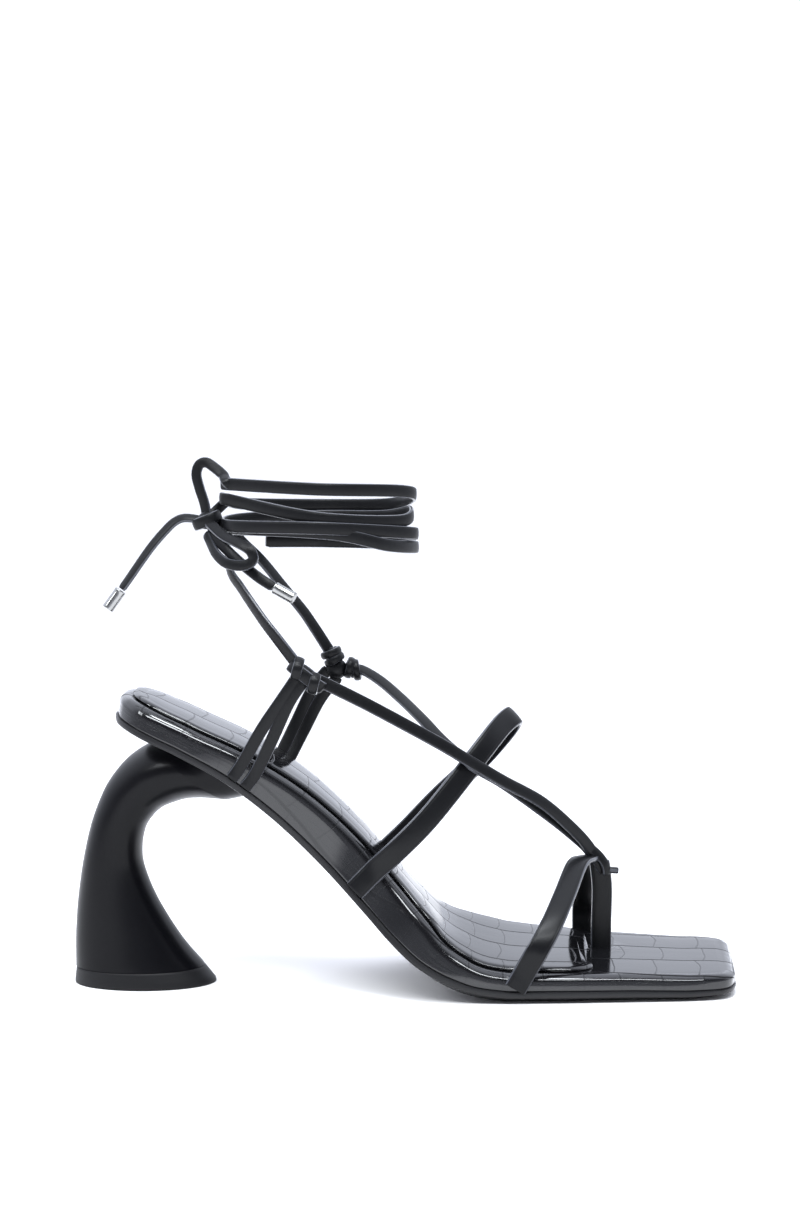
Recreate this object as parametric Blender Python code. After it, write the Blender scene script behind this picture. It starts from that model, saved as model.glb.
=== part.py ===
"""Right sandal on a curved horn heel: toe post, slim straps and ties wound round the ankle.

X runs from heel to toe, Y to the inner side of the foot and Z up. The origin lies on the floor
under the heel tip.
"""
import math

import bmesh
import bpy
from mathutils import Vector

MM = 0.001
UP = Vector((0, 0, 1))
INWARD = Vector((0, 1, 0))
OUTER, INNER = -1, 1  # the two sides of the foot, by the sign of Y

# Driving sizes
SOLE_REACH = 223.6 * MM  # level distance from the back of the sole to the toe
SOLE_BACK = -11 * MM  # where the sole starts, measured from the heel tip
REAR_RISE = 97.3 * MM  # underside of the sole at its back, above the floor
TOE_SPRING = 1.2 * MM
TOE_SKEW = 8 * MM  # how much further the toe reaches on the inner side than on the outer
END_LEAN = 0.4  # how far the sole's back and toe lean outwards for each unit of their height
BALL_WIDTH = 82 * MM
OUTSOLE_THICKNESS = 2.2 * MM  # at the heel
EDGE_LIFT = 2 * MM  # how far the outsole's edge stands over the floor under the ball
UNDERCUT = 5 * MM  # width of the slope under that edge
LEDGE = 1.2 * MM  # how far the outsole stands out past the footbed
FOOTBED_THICKNESS = 8.2 * MM
FOOTBED_ROUNDING = 4.4 * MM
SOCK_INSET = 5.6 * MM
SOCK_THICKNESS = 1.6 * MM
HEEL_BASE_LENGTH = 51.6 * MM
HEEL_BASE_WIDTH = 34 * MM
HEEL_TIP_THICKNESS = 6 * MM
STRAP_WIDTH = 8 * MM
STRAP_THICKNESS = 2 * MM
LACE_WIDTH = 4.5 * MM
LACE_THICKNESS = 1.5 * MM
POST_WIDTH = 7.5 * MM
POST_THICKNESS = 3 * MM
POST_DEPTH = 4 * MM  # how deep the toe post sits in the footbed
VAMP_RISE = 43.5 * MM  # top of each strap above the sole's underside
INSTEP_RISE = 85 * MM
LOOP_RISE = 48 * MM
ANKLE_DEPTH = 67.5 * MM  # the ring that the ties are wound on
ANKLE_WIDTH = 56 * MM
ANKLE_CENTRE = 63 * MM
TIE_HEIGHT = 168 * MM
CORD_DIAMETER = 2.6 * MM
KNOT_RADIUS = 4 * MM
AGLET_DIAMETER = 4.4 * MM
AGLET_LENGTH = 8.2 * MM
GAP = 0.3 * MM  # clearance between pieces that touch
BITE = 0.3 * MM  # how deep crossing straps sink into each other

# Underside of the sole from heel to toe: share of the reach, share of the rise at the back
PROFILE = (
    (0.000, 1.000),
    (0.067, 0.931),
    (0.113, 0.883),
    (0.186, 0.788),
    (0.259, 0.654),
    (0.333, 0.486),
    (0.408, 0.301),
    (0.467, 0.158),
    (0.505, 0.090),
    (0.543, 0.044),
    (0.581, 0.016),
    (0.622, 0.002),
    (0.653, 0.000),
    (0.721, 0.000),
    (0.854, 0.000),
    (0.921, 0.000),
)

# Sole seen from above: share of its length, half widths on the outer and the inner side as
# shares of the ball width, thickness on the outer and the inner side as shares of the footbed's
PLAN = (
    (0.003, 0.070, 0.070, 1.00, 1.00),
    (0.014, 0.205, 0.200, 1.00, 1.00),
    (0.049, 0.305, 0.297, 0.99, 0.99),
    (0.119, 0.345, 0.335, 0.98, 0.98),
    (0.198, 0.333, 0.327, 1.20, 1.20),
    (0.277, 0.300, 0.309, 1.48, 1.42),
    (0.356, 0.285, 0.310, 1.62, 1.46),
    (0.436, 0.322, 0.355, 1.58, 1.34),
    (0.505, 0.390, 0.422, 1.44, 1.26),
    (0.574, 0.435, 0.475, 0.93, 1.17),
    (0.643, 0.450, 0.510, 0.57, 1.11),
    (0.742, 0.440, 0.507, 0.52, 0.73),
    (0.841, 0.420, 0.482, 0.51, 0.61),
    (0.930, 0.398, 0.454, 0.48, 0.53),
    (0.975, 0.370, 0.421, 0.45, 0.46),
    (0.993, 0.325, 0.370, 0.40, 0.40),
    (1.000, 0.250, 0.290, 0.36, 0.36),
)
# Outsole: share of the sole's length, lift of its edge and thickness as shares of the sizes above
OUTSOLE_EDGE = (
    (0.000, 0.00, 1.00),
    (0.480, 0.00, 1.10),
    (0.540, 0.30, 1.28),
    (0.600, 0.85, 1.48),
    (0.660, 1.00, 1.55),
    (0.850, 0.95, 1.50),
    (0.950, 0.75, 1.38),
    (1.000, 0.50, 1.20),
)
SKEW_START = 0.75  # share of the sole's length where the toe's skew starts
SKEW_PIVOT = -0.07  # share of the ball width from the middle where the skew is nothing
BACK_END, TOE_START = 0.10, 0.90  # shares of the sole's length between which nothing leans
SOCK_FRONT = 0.820  # front of the outline that the sock is set in from, behind the toe post

# Horn of the heel from its tip upwards: back and front of each section, forward as shares of
# the heel base's length and up as shares of the rise at the back, then its half width as a
# share of the heel base's width
HORN = (
    (-0.506, 0.065, 0.403, 0.065, 0.462),
    (-0.506, 0.173, 0.246, 0.165, 0.422),
    (-0.492, 0.290, 0.081, 0.307, 0.388),
    (-0.467, 0.397, -0.012, 0.427, 0.370),
    (-0.438, 0.487, -0.031, 0.505, 0.368),
    (-0.395, 0.586, -0.006, 0.581, 0.377),
    (-0.345, 0.665, 0.048, 0.627, 0.397),
    (-0.277, 0.744, 0.116, 0.660, 0.427),
    (-0.192, 0.808, 0.203, 0.680, 0.470),
    (-0.109, 0.853, 0.300, 0.694, 0.515),
    (-0.010, 0.889, 0.417, 0.697, 0.560),
    (0.062, 0.906, 0.581, 0.690, 0.600),
)
HORN_SEAT = (0.070, 0.228)  # back and front of the seat as shares of the sole's length
HORN_SEAT_HALF_WIDTH = 0.24  # share of the ball width

# Straps over the foot: share of the sole's length, share of the ball width from the middle,
# share of the strap's rise, and the way its face looks, in degrees from sideways to up
VAMP_ARCH = (
    (0.719, -0.462, 0.46, 15),
    (0.740, -0.385, 0.65, 40),
    (0.760, -0.244, 0.835, 55),
    (0.780, -0.073, 1.01, 78),
    (0.796, 0.037, 1.02, 90),
    (0.805, 0.160, 0.98, 105),
    (0.806, 0.270, 0.87, 124),
    (0.804, 0.385, 0.67, 142),
    (0.802, 0.482, 0.46, 165),
)
INSTEP_ARCH = (
    (0.408, -0.330, 0.28, 0),
    (0.406, -0.311, 0.45, 10),
    (0.399, -0.250, 0.643, 22),
    (0.392, -0.159, 0.825, 38),
    (0.390, -0.049, 0.944, 62),
    (0.395, 0.037, 1.00, 90),
    (0.404, 0.122, 0.933, 122),
    (0.415, 0.232, 0.751, 150),
    (0.419, 0.311, 0.505, 168),
    (0.424, 0.335, 0.305, 178),
)
# Rear loops: side, shares of the sole's length at the root, half way and at the knot, and the
# middle and knot's shares of the ball width
REAR_LOOPS = (
    (OUTER, 0.184, 0.180, 0.180, 0.362, 0.380),
    (OUTER, 0.205, 0.195, 0.187, 0.362, 0.380),
    (INNER, 0.226, 0.215, 0.206, 0.375, 0.395),
    (INNER, 0.240, 0.229, 0.220, 0.375, 0.395),
)
LOOP_WALL_HEIGHT = 9.5 * MM
KNOT_OUTER = (0.185, -0.384, 1.00)
KNOT_INNER = ((0.202, 0.395, 1.10), (0.227, 0.395, 1.12))

# Laces and ties from one point to the next: share of the way, and how far each bows up and
# inward there, in lace widths
OUTER_LACE_BACK = ((0.33, 0.29, -0.20), (0.57, 0.29, -0.29), (0.82, 0.22, -0.30))
OUTER_LACE_FRONT = ((0.23, 0.62, -0.45), (0.53, 1.48, -0.55), (0.80, 1.30, -0.31), (0.93, 0.75, -0.15))
INNER_LACE_BACK = ((0.08, 0.44, 0.78), (0.24, 0.68, 1.29), (0.42, 0.60, 1.07), (0.60, 0.37, 0.38),
                   (0.77, 0.00, 0.00))
INNER_LACE_FRONT = ((0.24, 0.52, 0.10), (0.54, 0.80, 0.29), (0.76, 0.85, 0.33), (0.92, 0.60, 0.36))
OUTER_RISER = ((0.33, -0.91, -1.60), (0.52, -1.53, -1.91), (0.78, -2.18, -1.84), (0.95, -2.42, -1.69))
INNER_RISER = ((0.18, 0.36, 0.93), (0.30, 0.55, 1.27), (0.47, 0.47, 1.67), (0.69, 0.49, 1.44),
               (0.85, 0.15, 1.22))

# Ties wound on the ankle: turns from the back round the outer side, height over the middle
# of the winding in lace widths, and distance from the ring in lace thicknesses
WINDING = (
    (0.070, 2.98, 0.6),
    (0.250, 2.69, 0.6),
    (0.420, 2.44, 0.1),
    (0.500, 1.87, -0.2),
    (0.625, 1.15, 0.6),
    (0.750, 1.02, 0.6),
    (0.900, 1.20, 0.5),
    (1.000, 1.70, 0.2),
    (1.060, 1.68, -0.4),
    (1.250, 0.44, -0.8),
    (1.420, 0.07, -0.8),
    (1.500, 0.70, -0.8),
    (1.625, 0.18, -0.9),
    (1.750, 0.11, -0.9),
    (1.900, 0.00, -0.4),
    (2.000, -0.22, 0.6),
    (2.100, -0.31, 0.8),
    (2.250, -0.31, 0.8),
    (2.420, -0.80, 0.6),
    (2.500, -1.07, 0.2),
    (2.625, -1.10, -0.2),
    (2.750, -1.05, -0.2),
    (2.860, -1.00, -0.4),
    (3.000, -0.65, -1.2),
    (3.120, -0.50, -1.1),
    (3.280, -0.80, -1.0),
    (3.380, -1.75, 0.2),
    (3.500, -2.12, 0.8),
    (3.625, -2.08, 1.1),
    (3.750, -2.02, 1.1),
    (3.850, -1.95, 1.0),
)

# Free cords of the bow, in millimetres from the origin; the points follow the photographed bow
BOW_KNOT = (23.0, -4.6, 168.3)
CORDS = {
    "bow_loop_upper": (
        (30.6, -12.6, 182.2),
        (29.8, -10.8, 183.4),
        (29.0, -8.4, 184.6),
        (26.0, -6.2, 187.0),
        (22.8, -4.4, 188.9),
        (20.2, -3.6, 188.0),
        (19.2, -3.8, 184.6),
        (20.3, -4.2, 179.8),
        (21.7, -4.5, 175.6),
        (22.4, -4.6, 172.7),
    ),
    "bow_loop_lower": (
        (22.8, -6.2, 163.6),
        (24.3, -8.6, 160.6),
        (26.8, -13.6, 156.7),
        (31.0, -19.0, 153.7),
        (37.1, -22.8, 153.2),
        (40.6, -24.0, 155.2),
        (39.4, -23.4, 158.6),
        (34.9, -20.0, 161.0),
        (29.6, -14.6, 163.2),
        (24.6, -9.0, 167.0),
    ),
    "tie_end_left": (
        (18.7, -4.5, 168.6),
        (15.0, -4.4, 169.1),
        (11.2, -4.6, 167.6),
        (7.4, -5.0, 163.9),
        (3.4, -5.8, 159.2),
        (-0.4, -6.8, 153.9),
        (-4.3, -7.6, 148.2),
        (-7.4, -8.1, 143.8),
    ),
    "tie_end_right": (
        (25.2, -6.9, 164.9),
        (27.2, -10.6, 161.6),
        (31.4, -15.0, 157.6),
        (37.0, -19.2, 152.9),
        (43.0, -21.6, 148.4),
        (47.6, -23.0, 145.7),
    ),
}
AGLET_ENDS = {
    "aglet_left": ("tie_end_left", (-11.6, -8.8, 137.9)),
    "aglet_right": ("tie_end_right", (56.0, -25.4, 141.2)),
}


def spline(rows, steps):
    """Catmull-Rom curve through rows of numbers, with a number of steps to each span."""
    points = []
    for i in range(len(rows) - 1):
        span = (rows[max(i - 1, 0)], rows[i], rows[i + 1], rows[min(i + 2, len(rows) - 1)])
        for k in range(steps):
            t = k / steps
            points.append(tuple(
                0.5 * (2 * b + (c - a) * t + (2 * a - 5 * b + 4 * c - d) * t**2
                       + (3 * b - a - 3 * c + d) * t**3)
                for a, b, c, d in zip(*span)
            ))
    points.append(tuple(rows[-1]))
    return points


def look_up(rows, value):
    """Row of a table at a value of its first column, taken straight between two rows."""
    value = min(max(value, rows[0][0]), rows[-1][0])
    after = next(i for i in range(1, len(rows)) if rows[i][0] >= value)
    low, high = rows[after - 1], rows[after]
    share = (value - low[0]) / (high[0] - low[0])
    return tuple(a + (b - a) * share for a, b in zip(low, high))


def sole_line():
    """Underside of the sole as rows of share of its length, x, z, tangent x and tangent z."""
    rows = [(SOLE_BACK + SOLE_REACH * along, REAR_RISE * up) for along, up in PROFILE]
    rows.append((SOLE_BACK + SOLE_REACH, TOE_SPRING))
    points = [Vector((x, 0, max(z, 0))) for x, z in spline(rows, 8)]
    lengths = [0.0]
    for a, b in zip(points, points[1:]):
        lengths.append(lengths[-1] + (b - a).length)
    line = []
    for i, point in enumerate(points):
        tangent = (points[min(i + 1, len(points) - 1)] - points[max(i - 1, 0)]).normalized()
        line.append((lengths[i] / lengths[-1], point.x, point.z, tangent.x, tangent.z))
    return line, lengths[-1]


SOLE_LINE, SOLE_LENGTH = sole_line()
PLAN_LINE = spline(PLAN, 2)


def sole_axes(along):
    """Point on the sole's underside, the way forward along it and the way up from it."""
    _, x, z, tx, tz = look_up(SOLE_LINE, along)
    forward = Vector((tx, 0, tz)).normalized()
    return Vector((x, 0, z)), forward, Vector((-forward.z, 0, forward.x))


def on_sole(along, across, height):
    """Point at a share of the sole's length, a distance across it and a height over it."""
    point, _, normal = sole_axes(along)
    return point + INWARD * across + normal * height


def edge_heights(along):
    """Heights of the lower and the upper edge of the outsole over the sole's underside."""
    _, lift, thickness = look_up(OUTSOLE_EDGE, along)
    return lift * EDGE_LIFT, lift * EDGE_LIFT + thickness * OUTSOLE_THICKNESS


def rim_height(along, across=0.0):
    """Height of the footbed's top over the sole's underside, at a distance across the sole."""
    _, _, _, outer, inner = look_up(PLAN_LINE, along)
    share = 0.5 + across / BALL_WIDTH
    return edge_heights(along)[1] + GAP + FOOTBED_THICKNESS * (outer + (inner - outer) * share)


def plan_rows(front):
    """Rows of the sole's plan up to a front end with rounded corners."""
    if front >= 1:
        return PLAN_LINE
    nose, narrowing = 0.06, 0.36
    rows = [row for row in PLAN_LINE if row[0] < front - nose - 0.01]
    for degrees in (0, 18, 36, 54, 72, 90):
        turn = math.radians(degrees)
        row = look_up(PLAN_LINE, front - nose * (1 - math.sin(turn)))
        share = 1 - narrowing * (1 - math.cos(turn))
        rows.append((row[0], row[1] * share, row[2] * share))
    return rows


def sole_ring(inset, height_at, front=1.0):
    """Outline of the sole moved in by an inset, outer side first, at a height over it."""
    rows = plan_rows(front)
    outer = [(row[0] * SOLE_LENGTH, OUTER * row[1] * BALL_WIDTH) for row in rows]
    inner = [(row[0] * SOLE_LENGTH, INNER * row[2] * BALL_WIDTH) for row in rows]
    flat = [Vector(p) for p in outer + inner[::-1]]
    ring = []
    for i, point in enumerate(flat):
        tangent = (flat[(i + 1) % len(flat)] - flat[i - 1]).normalized()
        moved = point + Vector((-tangent.y, tangent.x)) * inset
        along = moved.x / SOLE_LENGTH
        height = height_at(along, moved.y)
        skew = TOE_SKEW * (moved.y / BALL_WIDTH - SKEW_PIVOT)
        skew *= max(0, (along - SKEW_START) / (1 - SKEW_START))
        lean = max(0, 1 - along / BACK_END) - max(0, (along - TOE_START) / (1 - TOE_START))
        _, forward, _ = sole_axes(along)
        ring.append(on_sole(along, moved.y, height) + forward * (skew - END_LEAN * height * lean))
    return ring


def make_object(name, bm, collection):
    """Object from a bmesh, with its faces turned outwards."""
    bmesh.ops.recalc_face_normals(bm, faces=bm.faces)
    mesh = bpy.data.meshes.new(name)
    bm.to_mesh(mesh)
    bm.free()
    obj = bpy.data.objects.new(name, mesh)
    collection.objects.link(obj)
    return obj


def loft(name, rings, collection):
    """Closed solid through rings of points whose two halves mirror each other's order."""
    bm = bmesh.new()
    loops = [[bm.verts.new(p) for p in ring] for ring in rings]
    count = len(loops[0])
    for low, high in zip(loops, loops[1:]):
        for i in range(count):
            j = (i + 1) % count
            bm.faces.new((low[i], low[j], high[j], high[i]))
    for cap in (loops[0], loops[-1]):
        for i in range(count // 2 - 1):
            bm.faces.new((cap[i], cap[i + 1], cap[count - 2 - i], cap[count - 1 - i]))
    return make_object(name, bm, collection)


def outsole(parts):
    """Thin sole whose edge shows as a ledge all round the footbed, bellied under the ball."""
    chamfer = 0.4 * MM
    return loft("outsole", [
        sole_ring(UNDERCUT, lambda along, across: 0),
        sole_ring(chamfer, lambda along, across: edge_heights(along)[0]),
        sole_ring(0, lambda along, across: edge_heights(along)[0] + chamfer),
        sole_ring(0, lambda along, across: edge_heights(along)[1] - chamfer),
        sole_ring(chamfer, lambda along, across: edge_heights(along)[1]),
    ], parts)


def footbed(parts):
    """Wrapped board of the insole, thicker under the arch, with a rounded top edge."""
    chamfer = 0.8 * MM
    rings = [
        sole_ring(LEDGE + chamfer, lambda along, across: edge_heights(along)[1] + GAP),
        sole_ring(LEDGE, lambda along, across: edge_heights(along)[1] + GAP + chamfer),
    ]
    for degrees in (0, 30, 60, 90):
        turn = math.radians(degrees)
        inset = LEDGE + FOOTBED_ROUNDING * (1 - math.cos(turn))
        drop = 1 - math.sin(turn)
        rings.append(sole_ring(inset, lambda along, across, drop=drop: (
            rim_height(along, across)
            - drop * min(FOOTBED_ROUNDING, 0.6 * (rim_height(along, across) - edge_heights(along)[1]))
        )))
    return loft("footbed", rings, parts)


def sock(parts):
    """Padded sock glued on the footbed, a little proud of it and raised in the middle."""
    rings = []
    for inset, lift in ((0, 0), (0, 0.6), (0.35, 0.9), (2, 1.0)):
        rings.append(sole_ring(
            SOCK_INSET + inset * SOCK_THICKNESS,
            lambda along, across, lift=lift: rim_height(along, across) + GAP + lift * SOCK_THICKNESS,
            SOCK_FRONT,
        ))
    return loft("sock", rings, parts)


def oval(back, front, half_width, count=24):
    """Oval section between a back and a front point, across the foot."""
    middle, half = (back + front) / 2, (front - back) / 2
    ring = []
    for i in range(count):
        turn = math.tau * (i + 0.5) / count - math.pi
        ring.append(middle + half * math.cos(turn) + INWARD * half_width * math.sin(turn))
    return ring


def heel(parts):
    """Horn that sweeps back and down from under the sole and flares to its base."""
    rings = []
    for back_x, back_z, front_x, front_z, half_width in spline(HORN, 2):
        rings.append(oval(
            Vector((back_x * HEEL_BASE_LENGTH, 0, back_z * REAR_RISE)),
            Vector((front_x * HEEL_BASE_LENGTH, 0, front_z * REAR_RISE)),
            half_width * HEEL_BASE_WIDTH,
        ))
    rings[0] = [Vector((p.x, p.y, HEEL_TIP_THICKNESS + GAP)) for p in rings[0]]
    middle = sum(HORN_SEAT) / 2
    half = (HORN_SEAT[1] - HORN_SEAT[0]) / 2
    flat = oval(Vector((-1, 0, 0)), Vector((1, 0, 0)), 1)
    rings.append([
        on_sole(middle + half * p.x, HORN_SEAT_HALF_WIDTH * BALL_WIDTH * p.y, -GAP) for p in flat
    ])
    return loft("heel", rings, parts)


def heel_tip(parts):
    """Flat rubber top piece that the heel stands on, flaring to the floor."""
    half = HEEL_BASE_LENGTH / 2
    rings = []
    for up, back, front, width in ((0, 1, 0.97, 0.5), (0.2, 1.0, 0.96, 0.5), (1, 0.98, 0.81, 0.465)):
        height = up * HEEL_TIP_THICKNESS
        rings.append(oval(
            Vector((-back * half - 0.6 * MM, 0, height)),
            Vector((front * half, 0, height)),
            width * HEEL_BASE_WIDTH,
        ))
    return loft("heel_tip", rings, parts)


def ribbon(name, rows, width, thickness, collection, steps=3):
    """Flat strap with chamfered edges through rows of a point and the way its face looks."""
    path = [(*point, *facing) for point, facing in rows]
    line = [(Vector(row[:3]), Vector(row[3:])) for row in spline(path, steps)]
    chamfer = 0.3 * thickness
    half, deep = width / 2, thickness / 2
    section = (
        (-half, deep - chamfer), (-half + chamfer, deep), (half - chamfer, deep), (half, deep - chamfer),
        (half, chamfer - deep), (half - chamfer, -deep), (chamfer - half, -deep), (-half, chamfer - deep),
    )
    rings = []
    for i, (point, facing) in enumerate(line):
        tangent = (line[min(i + 1, len(line) - 1)][0] - line[max(i - 1, 0)][0]).normalized()
        out = (facing - tangent * facing.dot(tangent)).normalized()
        side = tangent.cross(out)
        rings.append([point + side * a + out * b for a, b in section])
    return loft(name, rings, collection)


def wall_row(side, along, height, thickness):
    """Point and facing of a strap that lies on the footbed's side wall."""
    column = 1 if side == OUTER else 2
    half = look_up(PLAN_LINE, along)[column] * BALL_WIDTH
    step = 0.02
    ahead = look_up(PLAN_LINE, along + step)[column] * BALL_WIDTH
    behind = look_up(PLAN_LINE, along - step)[column] * BALL_WIDTH
    _, forward, _ = sole_axes(along)
    facing = (INWARD * side - forward * (ahead - behind) / (2 * step * SOLE_LENGTH)).normalized()
    point = on_sole(along, side * half, height) + facing * (thickness / 2 + GAP - LEDGE)
    return point, facing


def arch_rows(table, rise):
    """Points and facings of a strap over the foot."""
    rows = []
    for along, across, height, degrees in table:
        _, _, normal = sole_axes(along)
        turn = math.radians(degrees)
        facing = normal * math.sin(turn) - INWARD * math.cos(turn)
        rows.append((on_sole(along, across * BALL_WIDTH, height * rise), facing))
    return rows


def strap_rows(table, rise, outer_roots, inner_roots, thickness):
    """A whole strap: outer root, arch over the foot and inner root."""
    start = [wall_row(OUTER, along, height, thickness) for along, height in outer_roots]
    end = [wall_row(INNER, along, height, thickness) for along, height in inner_roots]
    return start + arch_rows(table, rise) + end


def between(start, end, rows):
    """Points between two ends: share of the way, then how far up and inward they bow."""
    return [
        start.lerp(end, share) + (UP * lift + INWARD * aside) * LACE_WIDTH for share, lift, aside in rows
    ]


def with_facing(points, first, last):
    """Points with a facing that turns evenly from a first to a last one."""
    count = len(points) - 1
    return [(point, first.lerp(last, i / count)) for i, point in enumerate(points)]


def post_rows():
    """Toe post from its slot in the footbed up to the straps' crossing."""
    foot = rim_height(0.819) - POST_DEPTH + GAP
    heights = ((0.819, 0.098, foot), (0.819, 0.098, 0.4 * VAMP_RISE), (0.820, 0.098, 0.72 * VAMP_RISE),
               (0.818, 0.094, 0.92 * VAMP_RISE), (0.811, 0.084, 1.03 * VAMP_RISE))
    return [(on_sole(along, across * BALL_WIDTH, height), -INWARD) for along, across, height in heights]


def knot_lump(name, place, size, slant, collection):
    """Rounded knot of a strap, longer one way, slanted in the plane of the foot's side."""
    bpy.ops.mesh.primitive_uv_sphere_add(segments=12, ring_count=8, radius=1)
    lump = bpy.context.object
    lump.name = name
    lump.scale = size
    lump.rotation_euler = (0, math.radians(slant), 0)
    lump.location = place
    bpy.ops.object.transform_apply(location=True, rotation=True, scale=True)
    for owner in lump.users_collection:
        owner.objects.unlink(lump)
    collection.objects.link(lump)
    return lump


def boolean(obj, operation, other):
    """Exact Boolean of an object with another one, which is kept as a guide."""
    modifier = obj.modifiers.new(operation.title(), "BOOLEAN")
    modifier.operation = operation
    modifier.solver = "EXACT"
    modifier.object = other
    other.hide_render = True
    other.display_type = "WIRE"


def knot_place(along, across, height):
    return on_sole(along, across * BALL_WIDTH, height * LOOP_RISE)


def upper(parts, guides):
    """All straps in front of the ankle as one piece, joined where they cross."""
    vamp = strap_rows(
        VAMP_ARCH, VAMP_RISE,
        ((0.679, 0), (0.689, 0.006), (0.701, 0.0115)), ((0.802, 0.0115), (0.802, 0.006), (0.802, 0)),
        STRAP_THICKNESS,
    )
    instep = strap_rows(
        INSTEP_ARCH, INSTEP_RISE,
        ((0.411, 0), (0.410, 0.007), (0.409, 0.0135)), ((0.425, 0.0135), (0.426, 0.007), (0.426, 0)),
        STRAP_THICKNESS,
    )
    body = ribbon("upper", vamp, STRAP_WIDTH, STRAP_THICKNESS, parts, 2)
    pieces = [ribbon("instep_band", instep, STRAP_WIDTH, STRAP_THICKNESS, guides, 2)]
    post = post_rows()
    pieces.append(ribbon("toe_post", post, POST_WIDTH, POST_THICKNESS, guides, 2))

    stub = on_sole(0.826, 0.088 * BALL_WIDTH, 0.908 * VAMP_RISE)
    stub_rows = [(stub, UP), (stub + Vector((4.3 * MM, 0, -0.3 * MM)), UP)]
    pieces.append(ribbon("keeper", stub_rows, 3 * MM, 2 * MM, guides, 1))

    crossing = (instep[5][0] + instep[6][0]) / 2
    facing = (instep[5][1] + instep[6][1]).normalized()
    lower = crossing + facing * ((STRAP_THICKNESS + LACE_THICKNESS) / 2 - BITE)
    higher = lower + facing * (LACE_THICKNESS - BITE)
    top = post[-2][0]
    knot_outer = knot_place(*KNOT_OUTER)
    knot_inner = knot_place(*KNOT_INNER[1])
    near = [knot_outer + Vector((2 * MM, 0, -0.5 * MM))]
    near += between(knot_outer, higher, OUTER_LACE_BACK) + [higher]
    near += between(higher, top, OUTER_LACE_FRONT) + [top + Vector((1.2 * MM, -0.6 * MM, -1.5 * MM))]
    far = [knot_inner] + between(knot_inner, lower, INNER_LACE_BACK) + [lower]
    far += between(lower, top, INNER_LACE_FRONT) + [top + Vector((-0.8 * MM, 0.6 * MM, -1.5 * MM))]
    out = -INWARD + UP * 0.35
    for name, points, first, turn in (("outer_lace", near, out, 4), ("inner_lace", far, INWARD + UP, 6)):
        rows = with_facing(points[:turn + 1], first, facing)
        rows += with_facing(points[turn:], facing, -INWARD + UP * 0.6)[1:]
        pieces.append(ribbon(name, rows, LACE_WIDTH, LACE_THICKNESS, guides, 2))

    for i, (side, root, half_way, knot, middle_across, knot_across) in enumerate(REAR_LOOPS):
        rows = [wall_row(side, root, 0, LACE_THICKNESS),
                wall_row(side, root, LOOP_WALL_HEIGHT, LACE_THICKNESS)]
        for along, across, height in ((half_way, middle_across, 0.5), (knot, knot_across, 0.78),
                                      (knot, knot_across, 1.0)):
            rows.append((on_sole(along, side * across * BALL_WIDTH, height * LOOP_RISE), INWARD * side))
        pieces.append(ribbon(f"rear_loop_{i}", rows, LACE_WIDTH, LACE_THICKNESS, guides, 2))

    pieces.append(knot_lump("outer_knot", knot_outer, (8 * MM, 3.6 * MM, 4 * MM), 38, guides))
    for i, place in enumerate(KNOT_INNER):
        size = (3.6 * MM, 3.4 * MM, 4.4 * MM)
        pieces.append(knot_lump(f"inner_knot_{i}", knot_place(*place), size, -15, guides))
    pieces.append(knot_lump("inner_knot_2", knot_place(0.213, 0.395, 1.04), (4 * MM, 3 * MM, 4 * MM), 0, guides))
    for piece in pieces:
        boolean(body, "UNION", piece)
    return body


def winding_point(turns, rise, spread):
    """Point and facing on the winding round the ankle."""
    angle = math.tau * turns
    away = Vector((-math.cos(angle) / ANKLE_DEPTH, -math.sin(angle) / ANKLE_WIDTH, 0)).normalized()
    ring = Vector((ANKLE_CENTRE - ANKLE_DEPTH / 2 * math.cos(angle), -ANKLE_WIDTH / 2 * math.sin(angle), 0))
    point = ring + away * spread * LACE_THICKNESS + UP * (TIE_HEIGHT + rise * LACE_WIDTH)
    return point, away


def ankle_tie(parts, guides):
    """Ties from the side knots up to the back and round the ankle, joined at the back."""
    rows = [winding_point(*row) for row in WINDING]
    body = ribbon("ankle_tie", rows, LACE_WIDTH, LACE_THICKNESS, parts, 3)
    for name, side, knot, reach, end, bow in (
        ("outer_riser", OUTER, knot_place(*KNOT_OUTER), 8.4 * MM, (2.020, -0.62, -0.2), OUTER_RISER),
        ("inner_riser", INNER, knot_place(*KNOT_INNER[0]), 6.0 * MM, (1.975, -0.62, -0.2), INNER_RISER),
    ):
        last, last_facing = winding_point(*end)
        points = between(knot, last, bow)
        start = knot + (points[0] - knot).normalized() * reach
        rows = with_facing([start] + points + [last], Vector((-0.7, 0.6 * side, -0.5)), last_facing)
        boolean(body, "UNION", ribbon(name, rows, LACE_WIDTH, LACE_THICKNESS, guides, 2))
    return body


def cord(name, parts):
    """Free cord of the bow as a tube along a smooth curve."""
    curve = bpy.data.curves.new(name, "CURVE")
    curve.dimensions = "3D"
    curve.bevel_depth = CORD_DIAMETER / 2
    curve.bevel_resolution = 2
    curve.use_fill_caps = True
    points = spline(CORDS[name], 1 if len(CORDS[name]) > 9 else 2)
    line = curve.splines.new("POLY")
    line.points.add(len(points) - 1)
    for target, point in zip(line.points, points):
        target.co = (*(Vector(point) * MM), 1)
    obj = bpy.data.objects.new(name, curve)
    parts.objects.link(obj)
    return obj


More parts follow.
